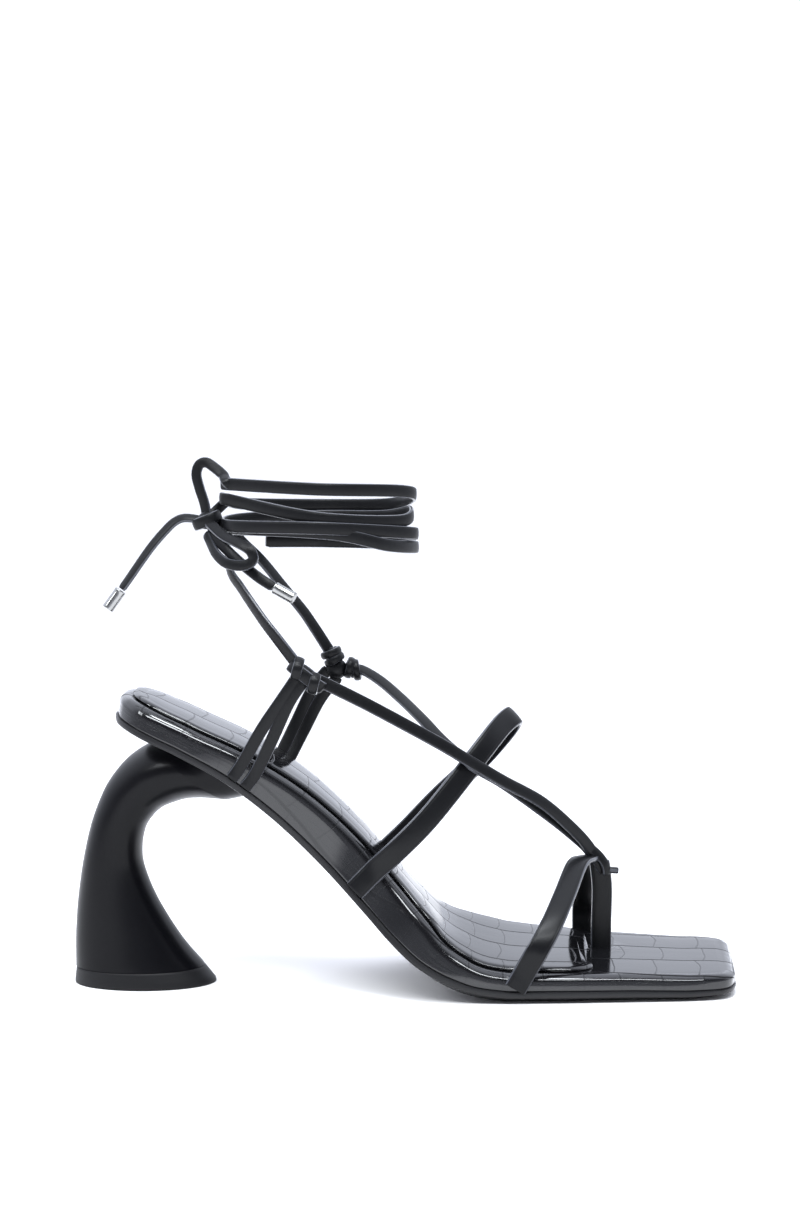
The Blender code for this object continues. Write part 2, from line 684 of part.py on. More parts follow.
def aglet(name, parts):
    """Metal tip crimped on the end of a tie."""
    cord_name, end = AGLET_ENDS[name]
    start = Vector(CORDS[cord_name][-1]) * MM
    way = (Vector(end) * MM - start).normalized()
    bpy.ops.mesh.primitive_cylinder_add(
        vertices=20, radius=AGLET_DIAMETER / 2, depth=AGLET_LENGTH,
        location=start + way * (GAP * 1.5 + AGLET_LENGTH / 2),
        rotation=way.to_track_quat("Z", "Y").to_euler(),
    )
    obj = bpy.context.object
    obj.name = name
    for owner in obj.users_collection:
        owner.objects.unlink(obj)
    parts.objects.link(obj)
    return obj


def material(name, colour, roughness, metallic=0.0):
    """Plain Principled material."""
    made = bpy.data.materials.new(name)
    made.use_nodes = True
    shader = made.node_tree.nodes["Principled BSDF"]
    shader.inputs["Base Color"].default_value = (*colour, 1)
    shader.inputs["Roughness"].default_value = roughness
    shader.inputs["Metallic"].default_value = metallic
    return made


def trim(obj, guides):
    """Cuts the straps' roots off just above the outsole."""
    name = "strap_trim"
    if name not in bpy.data.objects:
        loft(name, [
            sole_ring(-6 * MM, lambda along, across: -12 * MM),
            sole_ring(-6 * MM, lambda along, across: edge_heights(along)[1] + GAP),
        ], guides)
    boolean(obj, "DIFFERENCE", bpy.data.objects[name])


def post_slot(guides):
    """Slot round the foot of the toe post."""
    (foot, _), (_, _) = post_rows()[:2]
    bpy.ops.mesh.primitive_cube_add(size=1)
    slot = bpy.context.object
    slot.name = "post_slot"
    depth = 20 * MM
    slot.scale = (POST_WIDTH + 2 * GAP, POST_THICKNESS + 2 * GAP, depth)
    slot.location = foot + UP * (depth / 2 - GAP)
    for owner in slot.users_collection:
        owner.objects.unlink(slot)
    guides.objects.link(slot)
    return slot


def build():
    for obj in list(bpy.data.objects):
        bpy.data.objects.remove(obj)
    parts = bpy.data.collections.new("heeled_sandal")
    guides = bpy.data.collections.new("cutters")
    for collection in (parts, guides):
        bpy.context.scene.collection.children.link(collection)

    patent = material("patent_leather", (0.012, 0.012, 0.014), 0.12)
    leather = material("smooth_leather", (0.014, 0.014, 0.016), 0.38)
    sole_edge = material("sole_edge", (0.018, 0.018, 0.02), 0.45)
    lacquer = material("heel_lacquer", (0.012, 0.012, 0.013), 0.3)
    rubber = material("tip_rubber", (0.03, 0.03, 0.032), 0.6)
    metal = material("polished_metal", (0.78, 0.78, 0.77), 0.2, 1.0)

    slot = post_slot(guides)
    finished = {
        "outsole": (outsole(parts), sole_edge),
        "footbed": (footbed(parts), patent),
        "sock": (sock(parts), patent),
        "heel": (heel(parts), lacquer),
        "heel_tip": (heel_tip(parts), rubber),
        "upper": (upper(parts, guides), leather),
        "ankle_tie": (ankle_tie(parts, guides), leather),
        "bow_knot": (knot_lump("bow_knot", Vector(BOW_KNOT) * MM, (KNOT_RADIUS,) * 3, 0, parts), leather),
    }
    boolean(finished["footbed"][0], "DIFFERENCE", slot)
    trim(finished["upper"][0], guides)
    for name in CORDS:
        finished[name] = (cord(name, parts), leather)
    for name in AGLET_ENDS:
        finished[name] = (aglet(name, parts), metal)
    for obj, finish in finished.values():
        obj.data.materials.clear()
        obj.data.materials.append(finish)


build()
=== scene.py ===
"""Dresses the packed sandal: patent footbed, horn heel, satin straps and the flat ties of its bow."""
import math

import bpy
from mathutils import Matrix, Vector


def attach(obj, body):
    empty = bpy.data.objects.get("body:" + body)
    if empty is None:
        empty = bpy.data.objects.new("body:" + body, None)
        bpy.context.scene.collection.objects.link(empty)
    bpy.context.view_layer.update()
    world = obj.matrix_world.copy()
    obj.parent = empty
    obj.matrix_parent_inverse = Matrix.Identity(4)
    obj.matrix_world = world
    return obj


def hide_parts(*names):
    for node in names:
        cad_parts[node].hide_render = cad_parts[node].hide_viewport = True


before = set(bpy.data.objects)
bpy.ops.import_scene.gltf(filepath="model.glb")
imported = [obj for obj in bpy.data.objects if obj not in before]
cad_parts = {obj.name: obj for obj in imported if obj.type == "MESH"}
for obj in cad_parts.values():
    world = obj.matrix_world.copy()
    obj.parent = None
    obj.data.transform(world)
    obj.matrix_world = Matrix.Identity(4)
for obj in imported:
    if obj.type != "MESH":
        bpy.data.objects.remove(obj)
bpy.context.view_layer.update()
MM = 0.001

# Camera, floor and light
# A seamless white sweep in a white tent, with a long strip light over the front, a small soft box
# overhead and one to the left, seen nearly level from the outer side of the shoe.
camera = bpy.data.objects.new("camera", bpy.data.cameras.new("camera"))
bpy.context.scene.collection.objects.link(camera)
camera.location = (0.092, -0.863, 0.2056)
camera.rotation_euler = (math.radians(85.5), 0, 0)
camera.data.lens = 71.46
camera.data.clip_start = 0.01
bpy.context.scene.camera = camera

bpy.ops.object.select_all(action="DESELECT")
bpy.ops.mesh.primitive_plane_add(size=40, location=(0, 0, 0))
floor = bpy.context.object
floor.name = "floor"
floor_white = bpy.data.materials.new("floor_white")
floor_white.use_nodes = True
floor_shader = floor_white.node_tree.nodes["Principled BSDF"]
floor_shader.inputs["Base Color"].default_value = (0.97, 0.955, 0.94, 1)
floor_shader.inputs["Roughness"].default_value = 0.7
floor.data.materials.append(floor_white)

# The tent glows behind the shoe, most of all high up, and is dim on the side of the lens.
world = bpy.data.worlds.new("studio")
world.use_nodes = True
studio = world.node_tree
studio.nodes["Background"].inputs["Color"].default_value = (0.93, 0.975, 1.10, 1)
direction = studio.nodes.new("ShaderNodeTexCoord")
split = studio.nodes.new("ShaderNodeSeparateXYZ")
studio.links.new(direction.outputs["Generated"], split.inputs["Vector"])
level = studio.nodes.new("ShaderNodeMapRange")
level.inputs["From Min"].default_value = 0.20
level.inputs["From Max"].default_value = 0.48
studio.links.new(split.outputs["Z"], level.inputs["Value"])
studio.links.new(level.outputs["Result"], studio.nodes["Background"].inputs["Strength"])
for socket, low, high, dim, bright in (
    ("To Min", -0.5, 0.4, 0.55, 1.15),
    ("To Max", -0.55, 0.12, 0.07, 1.78),
):
    side = studio.nodes.new("ShaderNodeMapRange")
    side.interpolation_type = "SMOOTHSTEP"
    for name, value in (("From Min", low), ("From Max", high), ("To Min", dim), ("To Max", bright)):
        side.inputs[name].default_value = value
    studio.links.new(split.outputs["Y"], side.inputs["Value"])
    studio.links.new(side.outputs["Result"], level.inputs[socket])
bpy.context.scene.world = world
bpy.context.scene.view_settings.view_transform = "Standard"

for name, place, target, size, watts in (
    ("front_strip", (0.10, -0.66, 1.0), (0.10, 0, 0.02), (1.1, 0.16), 11),
    ("left_box", (-0.9, -0.6, 1.1), (0.1, 0, 0.05), (0.25, 0.6), 6),
    ("top_box", (0.14, -0.30, 1.1), (0.12, 0, 0.05), (0.4, 0.18), 6),
):
    light = bpy.data.lights.new(name, "AREA")
    light.shape = "RECTANGLE"
    light.size, light.size_y = size
    light.energy = watts
    light.color = (0.92, 0.96, 1)
    lamp = bpy.data.objects.new(name, light)
    lamp.location = place
    lamp.rotation_euler = (Vector(target) - Vector(place)).to_track_quat("-Z", "Y").to_euler()
    bpy.context.scene.collection.objects.link(lamp)


# Footbed
# Insole board with a steel shank, wrapped in black patent leather that is embossed with large
# scales; the leather is pulled over a rounded edge and lasted underneath.
SOLE_REACH = 223.6 * MM
SOLE_BACK = -11 * MM
REAR_RISE = 97.3 * MM
TOE_SPRING = 1.2 * MM
TOE_SKEW = 8 * MM
END_LEAN = 0.4
BALL_WIDTH = 82 * MM
OUTSOLE_THICKNESS = 2.2 * MM
EDGE_LIFT = 2 * MM
LEDGE = 1.2 * MM
FOOTBED_THICKNESS = 8.2 * MM
FOOTBED_ROUNDING = 4.4 * MM
COVER_PULL = 1.1 * MM
PULL_START, PULL_SPAN = 0.5, 0.12
GAP = 0.3 * MM
INWARD = Vector((0, 1, 0))
OUTER, INNER = -1, 1

# Underside from heel to toe: share of the reach, share of the rise at the back
PROFILE = (
    (0.000, 1.000),
    (0.067, 0.931),
    (0.113, 0.883),
    (0.186, 0.788),
    (0.259, 0.654),
    (0.333, 0.486),
    (0.408, 0.301),
    (0.467, 0.158),
    (0.505, 0.090),
    (0.543, 0.044),
    (0.581, 0.016),
    (0.622, 0.002),
    (0.653, 0.000),
    (0.721, 0.000),
    (0.854, 0.000),
    (0.921, 0.000),
)

# Plan: share of the length, half widths and thicknesses on the outer and the inner side
PLAN = (
    (0.003, 0.070, 0.070, 1.00, 1.00),
    (0.014, 0.205, 0.200, 1.00, 1.00),
    (0.049, 0.305, 0.297, 0.99, 0.99),
    (0.119, 0.345, 0.335, 0.98, 0.98),
    (0.198, 0.333, 0.327, 1.20, 1.20),
    (0.277, 0.300, 0.309, 1.48, 1.42),
    (0.356, 0.285, 0.310, 1.62, 1.46),
    (0.436, 0.322, 0.355, 1.58, 1.34),
    (0.505, 0.390, 0.422, 1.44, 1.26),
    (0.574, 0.435, 0.475, 0.93, 1.17),
    (0.643, 0.450, 0.510, 0.57, 1.11),
    (0.742, 0.440, 0.507, 0.52, 0.73),
    (0.841, 0.420, 0.482, 0.51, 0.61),
    (0.930, 0.398, 0.454, 0.48, 0.53),
    (0.975, 0.370, 0.421, 0.45, 0.46),
    (0.993, 0.325, 0.370, 0.40, 0.40),
    (1.000, 0.250, 0.290, 0.36, 0.36),
)

# Outsole: share of the length, lift of its edge and thickness
OUTSOLE_EDGE = (
    (0.000, 0.00, 1.00),
    (0.480, 0.00, 1.10),
    (0.540, 0.30, 1.28),
    (0.600, 0.85, 1.48),
    (0.660, 1.00, 1.55),
    (0.850, 0.95, 1.50),
    (0.950, 0.75, 1.38),
    (1.000, 0.50, 1.20),
)
SKEW_START = 0.75
SKEW_PIVOT = -0.07
BACK_END, TOE_START = 0.10, 0.90

# Rounded front of a layer that ends short of the toe: share of the length, and of the width it loses
NOSE, NARROWING = 0.06, 0.36
NOSE_GAP = 0.004
# Rows over which a crown fades at the ends, and how far a pattern slides along there down the wall
CROWN_FADE = 12
END_SLIDE = 0.6


def curve_through(rows, steps):
    """Catmull-Rom curve through rows of numbers."""
    points = []
    for i in range(len(rows) - 1):
        span = (rows[max(i - 1, 0)], rows[i], rows[i + 1], rows[min(i + 2, len(rows) - 1)])
        for k in range(steps):
            t = k / steps
            points.append(tuple(
                0.5 * (2 * b + (c - a) * t + (2 * a - 5 * b + 4 * c - d) * t**2
                       + (3 * b - a - 3 * c + d) * t**3)
                for a, b, c, d in zip(*span)
            ))
    points.append(tuple(rows[-1]))
    return points


def look_up(rows, value):
    """Row of a table at a value of its first column."""
    value = min(max(value, rows[0][0]), rows[-1][0])
    after = next(i for i in range(1, len(rows)) if rows[i][0] >= value)
    low, high = rows[after - 1], rows[after]
    share = (value - low[0]) / (high[0] - low[0])
    return tuple(a + (b - a) * share for a, b in zip(low, high))


def underside():
    """Underside of the sole as rows of share, x, z and tangent, and its length."""
    rows = [(SOLE_BACK + SOLE_REACH * along, REAR_RISE * up) for along, up in PROFILE]
    rows.append((SOLE_BACK + SOLE_REACH, TOE_SPRING))
    points = [Vector((x, 0, max(z, 0))) for x, z in curve_through(rows, 8)]
    lengths = [0.0]
    for a, b in zip(points, points[1:]):
        lengths.append(lengths[-1] + (b - a).length)
    line = []
    for i, point in enumerate(points):
        way = (points[min(i + 1, len(points) - 1)] - points[max(i - 1, 0)]).normalized()
        line.append((lengths[i] / lengths[-1], point.x, point.z, way.x, way.z))
    return line, lengths[-1]


SOLE_LINE, SOLE_LENGTH = underside()
PLAN_LINE = curve_through(PLAN, 8)


def sole_axes(along):
    """Point on the underside, the way forward and the way up from it."""
    _, x, z, way_x, way_z = look_up(SOLE_LINE, along)
    forward = Vector((way_x, 0, way_z)).normalized()
    return Vector((x, 0, z)), forward, Vector((-forward.z, 0, forward.x))


def on_sole(along, across, height):
    point, _, normal = sole_axes(along)
    return point + INWARD * across + normal * height


def edge_heights(along):
    """Heights of the outsole's lower and upper edge over the underside."""
    _, lift, thickness = look_up(OUTSOLE_EDGE, along)
    return lift * EDGE_LIFT, lift * EDGE_LIFT + thickness * OUTSOLE_THICKNESS


def seam_height(along):
    """Height of the seam between outsole and footbed cover, pulled down over the ledge in front."""
    return edge_heights(along)[1] - COVER_PULL * min(1, max(0, (along - PULL_START) / PULL_SPAN))


def rim_height(along, across=0.0):
    """Height of the footbed's top over the underside."""
    _, _, _, outer, inner = look_up(PLAN_LINE, along)
    share = 0.5 + across / BALL_WIDTH
    return edge_heights(along)[1] + GAP + FOOTBED_THICKNESS * (outer + (inner - outer) * share)


def bent(along, across, height):
    """Place in the bent sole of a point of the flat one, with the toe's skew and the ends' lean."""
    skew = TOE_SKEW * (across / BALL_WIDTH - SKEW_PIVOT)
    skew *= max(0, (along - SKEW_START) / (1 - SKEW_START))
    lean = max(0, 1 - along / BACK_END) - max(0, (along - TOE_START) / (1 - TOE_START))
    _, forward, _ = sole_axes(along)
    return on_sole(along, across, height) + forward * (skew - END_LEAN * height * lean)


def plan_rows(front):
    """Rows of the plan up to a front end with rounded corners."""
    if front >= 1:
        return PLAN_LINE
    rows = [row for row in PLAN_LINE if row[0] < front - NOSE - NOSE_GAP]
    for degrees in range(0, 91, 6):
        turn = math.radians(degrees)
        row = look_up(PLAN_LINE, front - NOSE * (1 - math.sin(turn)))
        share = 1 - NARROWING * (1 - math.cos(turn))
        rows.append((row[0], row[1] * share, row[2] * share))
    return rows


def rim_line(front):
    """Flat outline of the sole, and the way inward at each of its points."""
    rows = plan_rows(front)
    flat = [Vector((row[0] * SOLE_LENGTH, OUTER * row[1] * BALL_WIDTH)) for row in rows]
    flat += [Vector((row[0] * SOLE_LENGTH, INNER * row[2] * BALL_WIDTH)) for row in rows[::-1]]
    ways = []
    for i in range(len(flat)):
        way = (flat[(i + 1) % len(flat)] - flat[i - 1]).normalized()
        ways.append(Vector((-way.y, way.x)))
    return flat, ways


def make_piece(name, points, faces, spread, rim=None):
    """Smooth mesh piece with a UV map named spread and, where given, a number named rim a point."""
    mesh = bpy.data.meshes.new(name)
    mesh.from_pydata(points, [], faces)
    if rim:
        mesh.attributes.new("rim", "FLOAT", "POINT").data.foreach_set("value", rim)
    layer = mesh.uv_layers.new(name="spread")
    for loop in mesh.loops:
        layer.data[loop.index].uv = spread[loop.vertex_index]
    piece = bpy.data.objects.new(name, mesh)
    bpy.context.scene.collection.objects.link(piece)
    bpy.ops.object.select_all(action="DESELECT")
    bpy.context.view_layer.objects.active = piece
    piece.select_set(True)
    bpy.ops.object.mode_set(mode="EDIT")
    bpy.ops.mesh.select_all(action="SELECT")
    bpy.ops.mesh.normals_make_consistent(inside=False)
    bpy.ops.object.mode_set(mode="OBJECT")
    bpy.ops.object.shade_smooth_by_angle(angle=math.radians(50))
    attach(piece, "root")
    return piece


def sole_layer(name, levels, front=1.0, crown=0.0, across_steps=24):
    """Closed layer of the sole from rings of an inset, a height and a distance out from the rim."""
    flat, ways = rim_line(front)
    count = len(flat)
    points, spread, rim_values, faces, rings = [], [], [], [], []
    for inset, height_at, out in levels:
        ring = []
        for i, point in enumerate(flat):
            moved = point + ways[i] * inset
            rim = point + ways[i] * levels[-1][0]
            ring.append(len(points))
            points.append(bent(moved.x / SOLE_LENGTH, moved.y,
                               height_at(moved.x / SOLE_LENGTH, moved.y)))
            side = OUTER if i < count / 2 else INNER
            spread.append((rim.x - END_SLIDE * ways[i].x * out, rim.y + side * out))
            rim_values.append(out)
        rings.append(ring)
    for low, high in zip(rings, rings[1:]):
        for i in range(count):
            j = (i + 1) % count
            faces.append((low[i], low[j], high[j], high[i]))
    for ring, (inset, height_at, _), rise in ((rings[0], levels[0], 0.0), (rings[-1], levels[-1], crown)):
        bars = []
        for i in range(count // 2):
            a, b = flat[i] + ways[i] * inset, flat[count - 1 - i] + ways[count - 1 - i] * inset
            bar = [ring[i]]
            for k in range(1, across_steps):
                middle = a.lerp(b, k / across_steps)
                along = middle.x / SOLE_LENGTH
                fade = min(1, i / CROWN_FADE, (count // 2 - 1 - i) / CROWN_FADE)
                swell = rise * fade * (1 - (2 * k / across_steps - 1) ** 4)
                bar.append(len(points))
                points.append(bent(along, middle.y, height_at(along, middle.y) + swell))
                spread.append(tuple(middle))
                rim_values.append(0.0)
            bars.append(bar + [ring[count - 1 - i]])
        for low, high in zip(bars, bars[1:]):
            for k in range(across_steps):
                faces.append((low[k], low[k + 1], high[k + 1], high[k]))
        faces.append(bars[0])
        faces.append(bars[-1])
    return make_piece(name, points, faces, spread, rim_values)


class Wire:
    """Output of a shader node; sums and products of wires add Math nodes."""

    def __init__(self, socket):
        self.socket = socket

    def node(self, kind, inputs, out=0, **settings):
        """Adds a node, sets it, feeds its sockets and returns one of its outputs."""
        made = self.socket.id_data.nodes.new(kind)
        for name, value in settings.items():
            setattr(made, name, value)
        for name, value in inputs.items():
            if isinstance(value, Wire):
                self.socket.id_data.links.new(value.socket, made.inputs[name])
            else:
                made.inputs[name].default_value = value
        return Wire(made.outputs[out])

    def math(self, operation, *others):
        values = {0: self, **{i + 1: other for i, other in enumerate(others)}}
        return self.node("ShaderNodeMath", values, operation=operation)

    def smooth(self, low, high):
        """0 below low and 1 above high, with a soft step between."""
        return self.node("ShaderNodeMapRange", {"Value": self, "From Min": low, "From Max": high},
                         interpolation_type="SMOOTHSTEP")

    def __add__(self, other):
        return self.math("ADD", other)

    __radd__ = __add__

    def __mul__(self, other):
        return self.math("MULTIPLY", other)

    __rmul__ = __mul__

    def __sub__(self, other):
        return self.math("SUBTRACT", other)

    def __rsub__(self, other):
        return self.node("ShaderNodeMath", {0: other, 1: self}, operation="SUBTRACT")


def new_finish(name, colour, roughness, specular=0.5, coat=0.0, coat_roughness=0.03, metallic=0.0):
    """Principled material, its shader, and wires of the Object and the spread coordinates."""
    finish = bpy.data.materials.new(name)
    finish.use_nodes = True
    tree = finish.node_tree
    shader = tree.nodes["Principled BSDF"]
    shader.inputs["Base Color"].default_value = (*colour, 1)
    shader.inputs["Roughness"].default_value = roughness
    shader.inputs["Metallic"].default_value = metallic
    shader.inputs["Specular IOR Level"].default_value = specular
    shader.inputs["Coat Weight"].default_value = coat
    shader.inputs["Coat Roughness"].default_value = coat_roughness
    place = Wire(tree.nodes.new("ShaderNodeTexCoord").outputs["Object"])
    spread = place.node("ShaderNodeUVMap", {}, uv_map="spread")
    return finish, shader, place, spread


def feed(shader, name, wire):
    shader.id_data.links.new(wire.socket, shader.inputs[name])


def feed_relief(shader, relief, strength, depth):
    """Low relief of a surface, and how deep a height of 1 is."""
    heights = {"Height": relief, "Strength": strength, "Distance": depth}
    feed(shader, "Normal", relief.node("ShaderNodeBump", heights))


def noise(place, scale, detail):
    """Cloudy pattern from 0 to 1, with so many clouds a metre."""
    return place.node("ShaderNodeTexNoise", {"Vector": place, "Scale": scale, "Detail": detail})


# Size of the embossed scales, how far their rows stray and bow, and the streaks a metre of the edge
SCALE_WIDTH = 20 * MM
SCALE_LENGTH = 14.5 * MM
SCALE_DRIFT = 5 * MM
SCALE_BOW = 5 * MM
STREAKS_ALONG, STREAKS_DOWN = 45, 620

# Toe post's slot: share of the length and of the ball width
POST_ALONG, POST_ACROSS = 0.819, 0.098
POST_FOOT = on_sole(POST_ALONG, POST_ACROSS * BALL_WIDTH, rim_height(POST_ALONG))


def scaled_patent(name, offset, gloss):
    """Patent leather embossed with rows of scales, whose cross furrows run on down the side wall."""
    finish, shader, place, spread = new_finish(
        name, (0.006, 0.006, 0.007), 0.16, specular=0.06, coat=0.65, coat_roughness=gloss)
    shader.inputs["Coat IOR"].default_value = 1.65
    axes = spread.node("ShaderNodeSeparateXYZ", {"Vector": spread})
    across = Wire(axes.socket.node.outputs[1])
    rows = (across + (noise(place, 24.0, 1.0) - 0.5) * SCALE_DRIFT) * (1 / SCALE_WIDTH) + offset
    row = rows.math("FLOOR")
    row_edge = (rows - row - 0.5).math("ABSOLUTE")
    along = axes + (noise(place, 40.0, 1.0) - 0.5) * SCALE_DRIFT + row_edge * row_edge * SCALE_BOW
    columns = along * (1 / SCALE_LENGTH) + (row * 0.37 + 3).math("FRACT") * 0.35
    column_edge = (columns - columns.math("FLOOR") - 0.5).math("ABSOLUTE")
    furrow = row_edge.smooth(0.462, 0.492).math("MAXIMUM", column_edge.smooth(0.468, 0.498) * 0.55)
    pillow = row_edge.smooth(0.2, 0.5) * 0.5 + column_edge.smooth(0.25, 0.5) * 0.4
    # The furrows are deepest on the rounded edge and fade out down the upright wall
    rim = place.node("ShaderNodeAttribute", {}, out="Fac", attribute_name="rim")
    edge = rim.smooth(0.3 * MM, 2 * MM)
    wall = rim.smooth(5.5 * MM, 7 * MM)
    groove = furrow * (1 + edge * 0.7 - wall * 1.3)
    ripple = noise(place, 130.0, 3.0)
    # The leather is drawn along the edge, and puckered where the toe post goes in
    sides = place.node("ShaderNodeSeparateXYZ", {"Vector": place})
    drawn = (sides + Wire(sides.socket.node.outputs[1])) * STREAKS_ALONG
    lines = rim.node("ShaderNodeCombineXYZ", {"X": drawn, "Y": rim * STREAKS_DOWN})
    reach = place.node("ShaderNodeVectorMath", {0: place, 1: tuple(POST_FOOT)}, out="Value",
                       operation="DISTANCE")
    pucker = noise(place, 420.0, 2.0) * (1 - reach.smooth(4 * MM, 12 * MM))
    relief = (ripple * (edge * 0.6 + 0.18) + noise(lines, 1.0, 2.0) * edge * 1.5 - pillow * 0.3
              - groove + pucker * 1.6)
    feed_relief(shader, relief, 0.7, 0.5 * MM)
    feed(shader, "Roughness", groove * 0.3 + ripple * 0.06 + 0.1)
    feed(shader, "Coat Weight", edge * 0.32 + 0.54 - groove * 0.45)
    return finish


# From the seam up: tuck over the ledge, height and way climbed in mm, then the rounded edge
full_girth = FOOTBED_ROUNDING * math.pi / 2 + 6.5 * MM
footbed_levels = [
    (LEDGE - tuck * MM,
     lambda along, across, lift=lift: seam_height(along) + lift * MM,
     full_girth - climbed * MM)
    for tuck, lift, climbed in ((0.2, 0.02, 0), (0.35, 0.3, 0.3), (0.35, 0.9, 0.9))
]
for degrees in range(0, 91, 9):
    turn = math.radians(degrees)
    footbed_levels.append((
        LEDGE + FOOTBED_ROUNDING * (1 - math.cos(turn)),
        lambda along, across, drop=1 - math.sin(turn): rim_height(along, across)
        - drop * min(FOOTBED_ROUNDING, 0.6 * (rim_height(along, across) - edge_heights(along)[1])),
        FOOTBED_ROUNDING * (math.pi / 2 - turn),
    ))
footbed = sole_layer("footbed_cover", footbed_levels, crown=0.3 * MM)
footbed.data.materials.append(scaled_patent("patent_footbed", 0.5, 0.08))
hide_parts("footbed")

# Sock
# Thin cushioned sock in the same patent leather, glued on the footbed from the heel to the toe
# post, with a turned edge that stands a little proud.
SOCK_INSET = 5.6 * MM
SOCK_THICKNESS = 1.6 * MM
SOCK_FRONT = 0.820
# Turned edge of the sock: inset and lift in thicknesses
SOCK_EDGE = ((0.1, 0), (-0.1, 0.3), (0, 0.55), (0.25, 0.78), (0.7, 0.94), (1.3, 1.02), (2.2, 1.05))
sock_levels = [
    (SOCK_INSET + inset * SOCK_THICKNESS,
     lambda along, across, lift=lift: rim_height(along, across) + 0.5 * GAP + lift * SOCK_THICKNESS,
     (1 - lift) * 3 * MM)
    for inset, lift in SOCK_EDGE
]
sock = sole_layer("sock_lining", sock_levels, SOCK_FRONT, crown=0.5 * MM)
sock.data.materials.append(scaled_patent("patent_sock", 0.15, 0.1))
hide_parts("sock")

# Outsole
# Thin black resin sole cemented under the footbed, bellied under the ball, whose painted edge
# shows as a ledge all round.
UNDERCUT = 5 * MM
outsole = sole_layer("outsole_edge", [
    (UNDERCUT, lambda along, across: 0, 9 * MM),
    (0.5 * MM, lambda along, across: edge_heights(along)[0], 4 * MM),
    (0.1 * MM, lambda along, across: edge_heights(along)[0] + 0.15 * MM, 3.5 * MM),
    (0, lambda along, across: edge_heights(along)[0] + 0.5 * MM, 3 * MM),
    (0, lambda along, across: seam_height(along) - 0.6 * MM, 2 * MM),
    (0.12 * MM, lambda along, across: seam_height(along) - 0.15 * MM, 1 * MM),
    (0.6 * MM, lambda along, across: seam_height(along), 0),
])
edge_paint, edge_shader, edge_place, _ = new_finish(
    "edge_paint", (0.010, 0.010, 0.011), 0.36, specular=0.35)
edge_grain = noise(edge_place, 900.0, 3.0)
feed_relief(edge_shader, edge_grain, 0.1, 0.1 * MM)
feed(edge_shader, "Roughness", edge_grain * 0.16 + 0.3)
outsole.data.materials.append(edge_paint)
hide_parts("outsole")

# Heel
# Hollow moulded horn, lacquered satin black and screwed up into the seat, and a rubber top piece
# nailed on its foot.
HEEL_BASE_LENGTH = 51.6 * MM
HEEL_BASE_WIDTH = 34 * MM
HEEL_TIP_THICKNESS = 6 * MM
TIP_OVERHANG = 0.6 * MM
TIP_GAP = 0.15 * MM
SEAT_GAP = 0.1 * MM
# Seat under the sole: shares of its length at the back and front, and of the ball width
HORN_SEAT = (0.070, 0.228)
HORN_SEAT_HALF_WIDTH = 0.24

# Horn from its tip upwards: back and front of each section, then its half width
HORN = (
    (-0.506, 0.065, 0.403, 0.065, 0.462),
    (-0.506, 0.173, 0.246, 0.165, 0.422),
    (-0.492, 0.290, 0.081, 0.307, 0.388),
    (-0.467, 0.397, -0.012, 0.427, 0.370),
    (-0.438, 0.487, -0.031, 0.505, 0.368),
    (-0.395, 0.586, -0.006, 0.581, 0.377),
    (-0.345, 0.665, 0.048, 0.627, 0.397),
    (-0.277, 0.744, 0.116, 0.660, 0.427),
    (-0.192, 0.808, 0.203, 0.680, 0.470),
    (-0.109, 0.853, 0.300, 0.694, 0.515),
    (-0.010, 0.889, 0.417, 0.697, 0.560),
    (0.062, 0.906, 0.581, 0.690, 0.600),
)

# Top piece from the floor up: share of its height, of the half base at the back and front, of the width
TOP_PIECE = (
    (0.00, 0.985, 0.955, 0.488),
    (0.02, 0.997, 0.967, 0.497),
    (0.10, 1.000, 0.966, 0.500),
    (0.20, 1.000, 0.960, 0.500),
    (0.50, 0.993, 0.905, 0.488),
    (0.86, 0.984, 0.836, 0.471),
    (0.97, 0.980, 0.818, 0.467),
    (1.00, 0.970, 0.805, 0.460),
)


def oval(back, front, half_width, count=72):
    """Oval section between a back and a front point, across the foot."""
    middle, half = (back + front) / 2, (front - back) / 2
    turns = [math.tau * (i + 0.5) / count - math.pi for i in range(count)]
    return [middle + half * math.cos(turn) + INWARD * half_width * math.sin(turn) for turn in turns]


def turned_piece(name, rings):
    """Closed piece through rings of points, with a flat end at each."""
    count = len(rings[0])
    points = [point for ring in rings for point in ring]
    spread = [(i / count, k / len(rings)) for k in range(len(rings)) for i in range(count)]
    faces = [tuple(range(count)), tuple(range(len(points) - count, len(points)))]
    for k in range(len(rings) - 1):
        for i in range(count):
            j = (i + 1) % count
            faces.append((k * count + i, k * count + j, (k + 1) * count + j, (k + 1) * count + i))
    return make_piece(name, points, faces, spread)


horn_rings = []
for back_x, back_z, front_x, front_z, half_width in curve_through(HORN, 6):
    horn_rings.append(oval(
        Vector((back_x * HEEL_BASE_LENGTH, 0, back_z * REAR_RISE)),
        Vector((front_x * HEEL_BASE_LENGTH, 0, front_z * REAR_RISE)),
        half_width * HEEL_BASE_WIDTH,
    ))
horn_rings[0] = [Vector((p.x, p.y, HEEL_TIP_THICKNESS + TIP_GAP)) for p in horn_rings[0]]
seat_middle, seat_half = sum(HORN_SEAT) / 2, (HORN_SEAT[1] - HORN_SEAT[0]) / 2
seat = [on_sole(seat_middle + seat_half * p.x, HORN_SEAT_HALF_WIDTH * BALL_WIDTH * p.y, -SEAT_GAP)
        for p in oval(Vector((-1, 0, 0)), Vector((1, 0, 0)), 1)]
for share in (0.35, 0.7):
    horn_rings.append([a.lerp(b, share) for a, b in zip(horn_rings[-1], seat)])
horn_rings.append(seat)
horn = turned_piece("heel_horn", horn_rings)
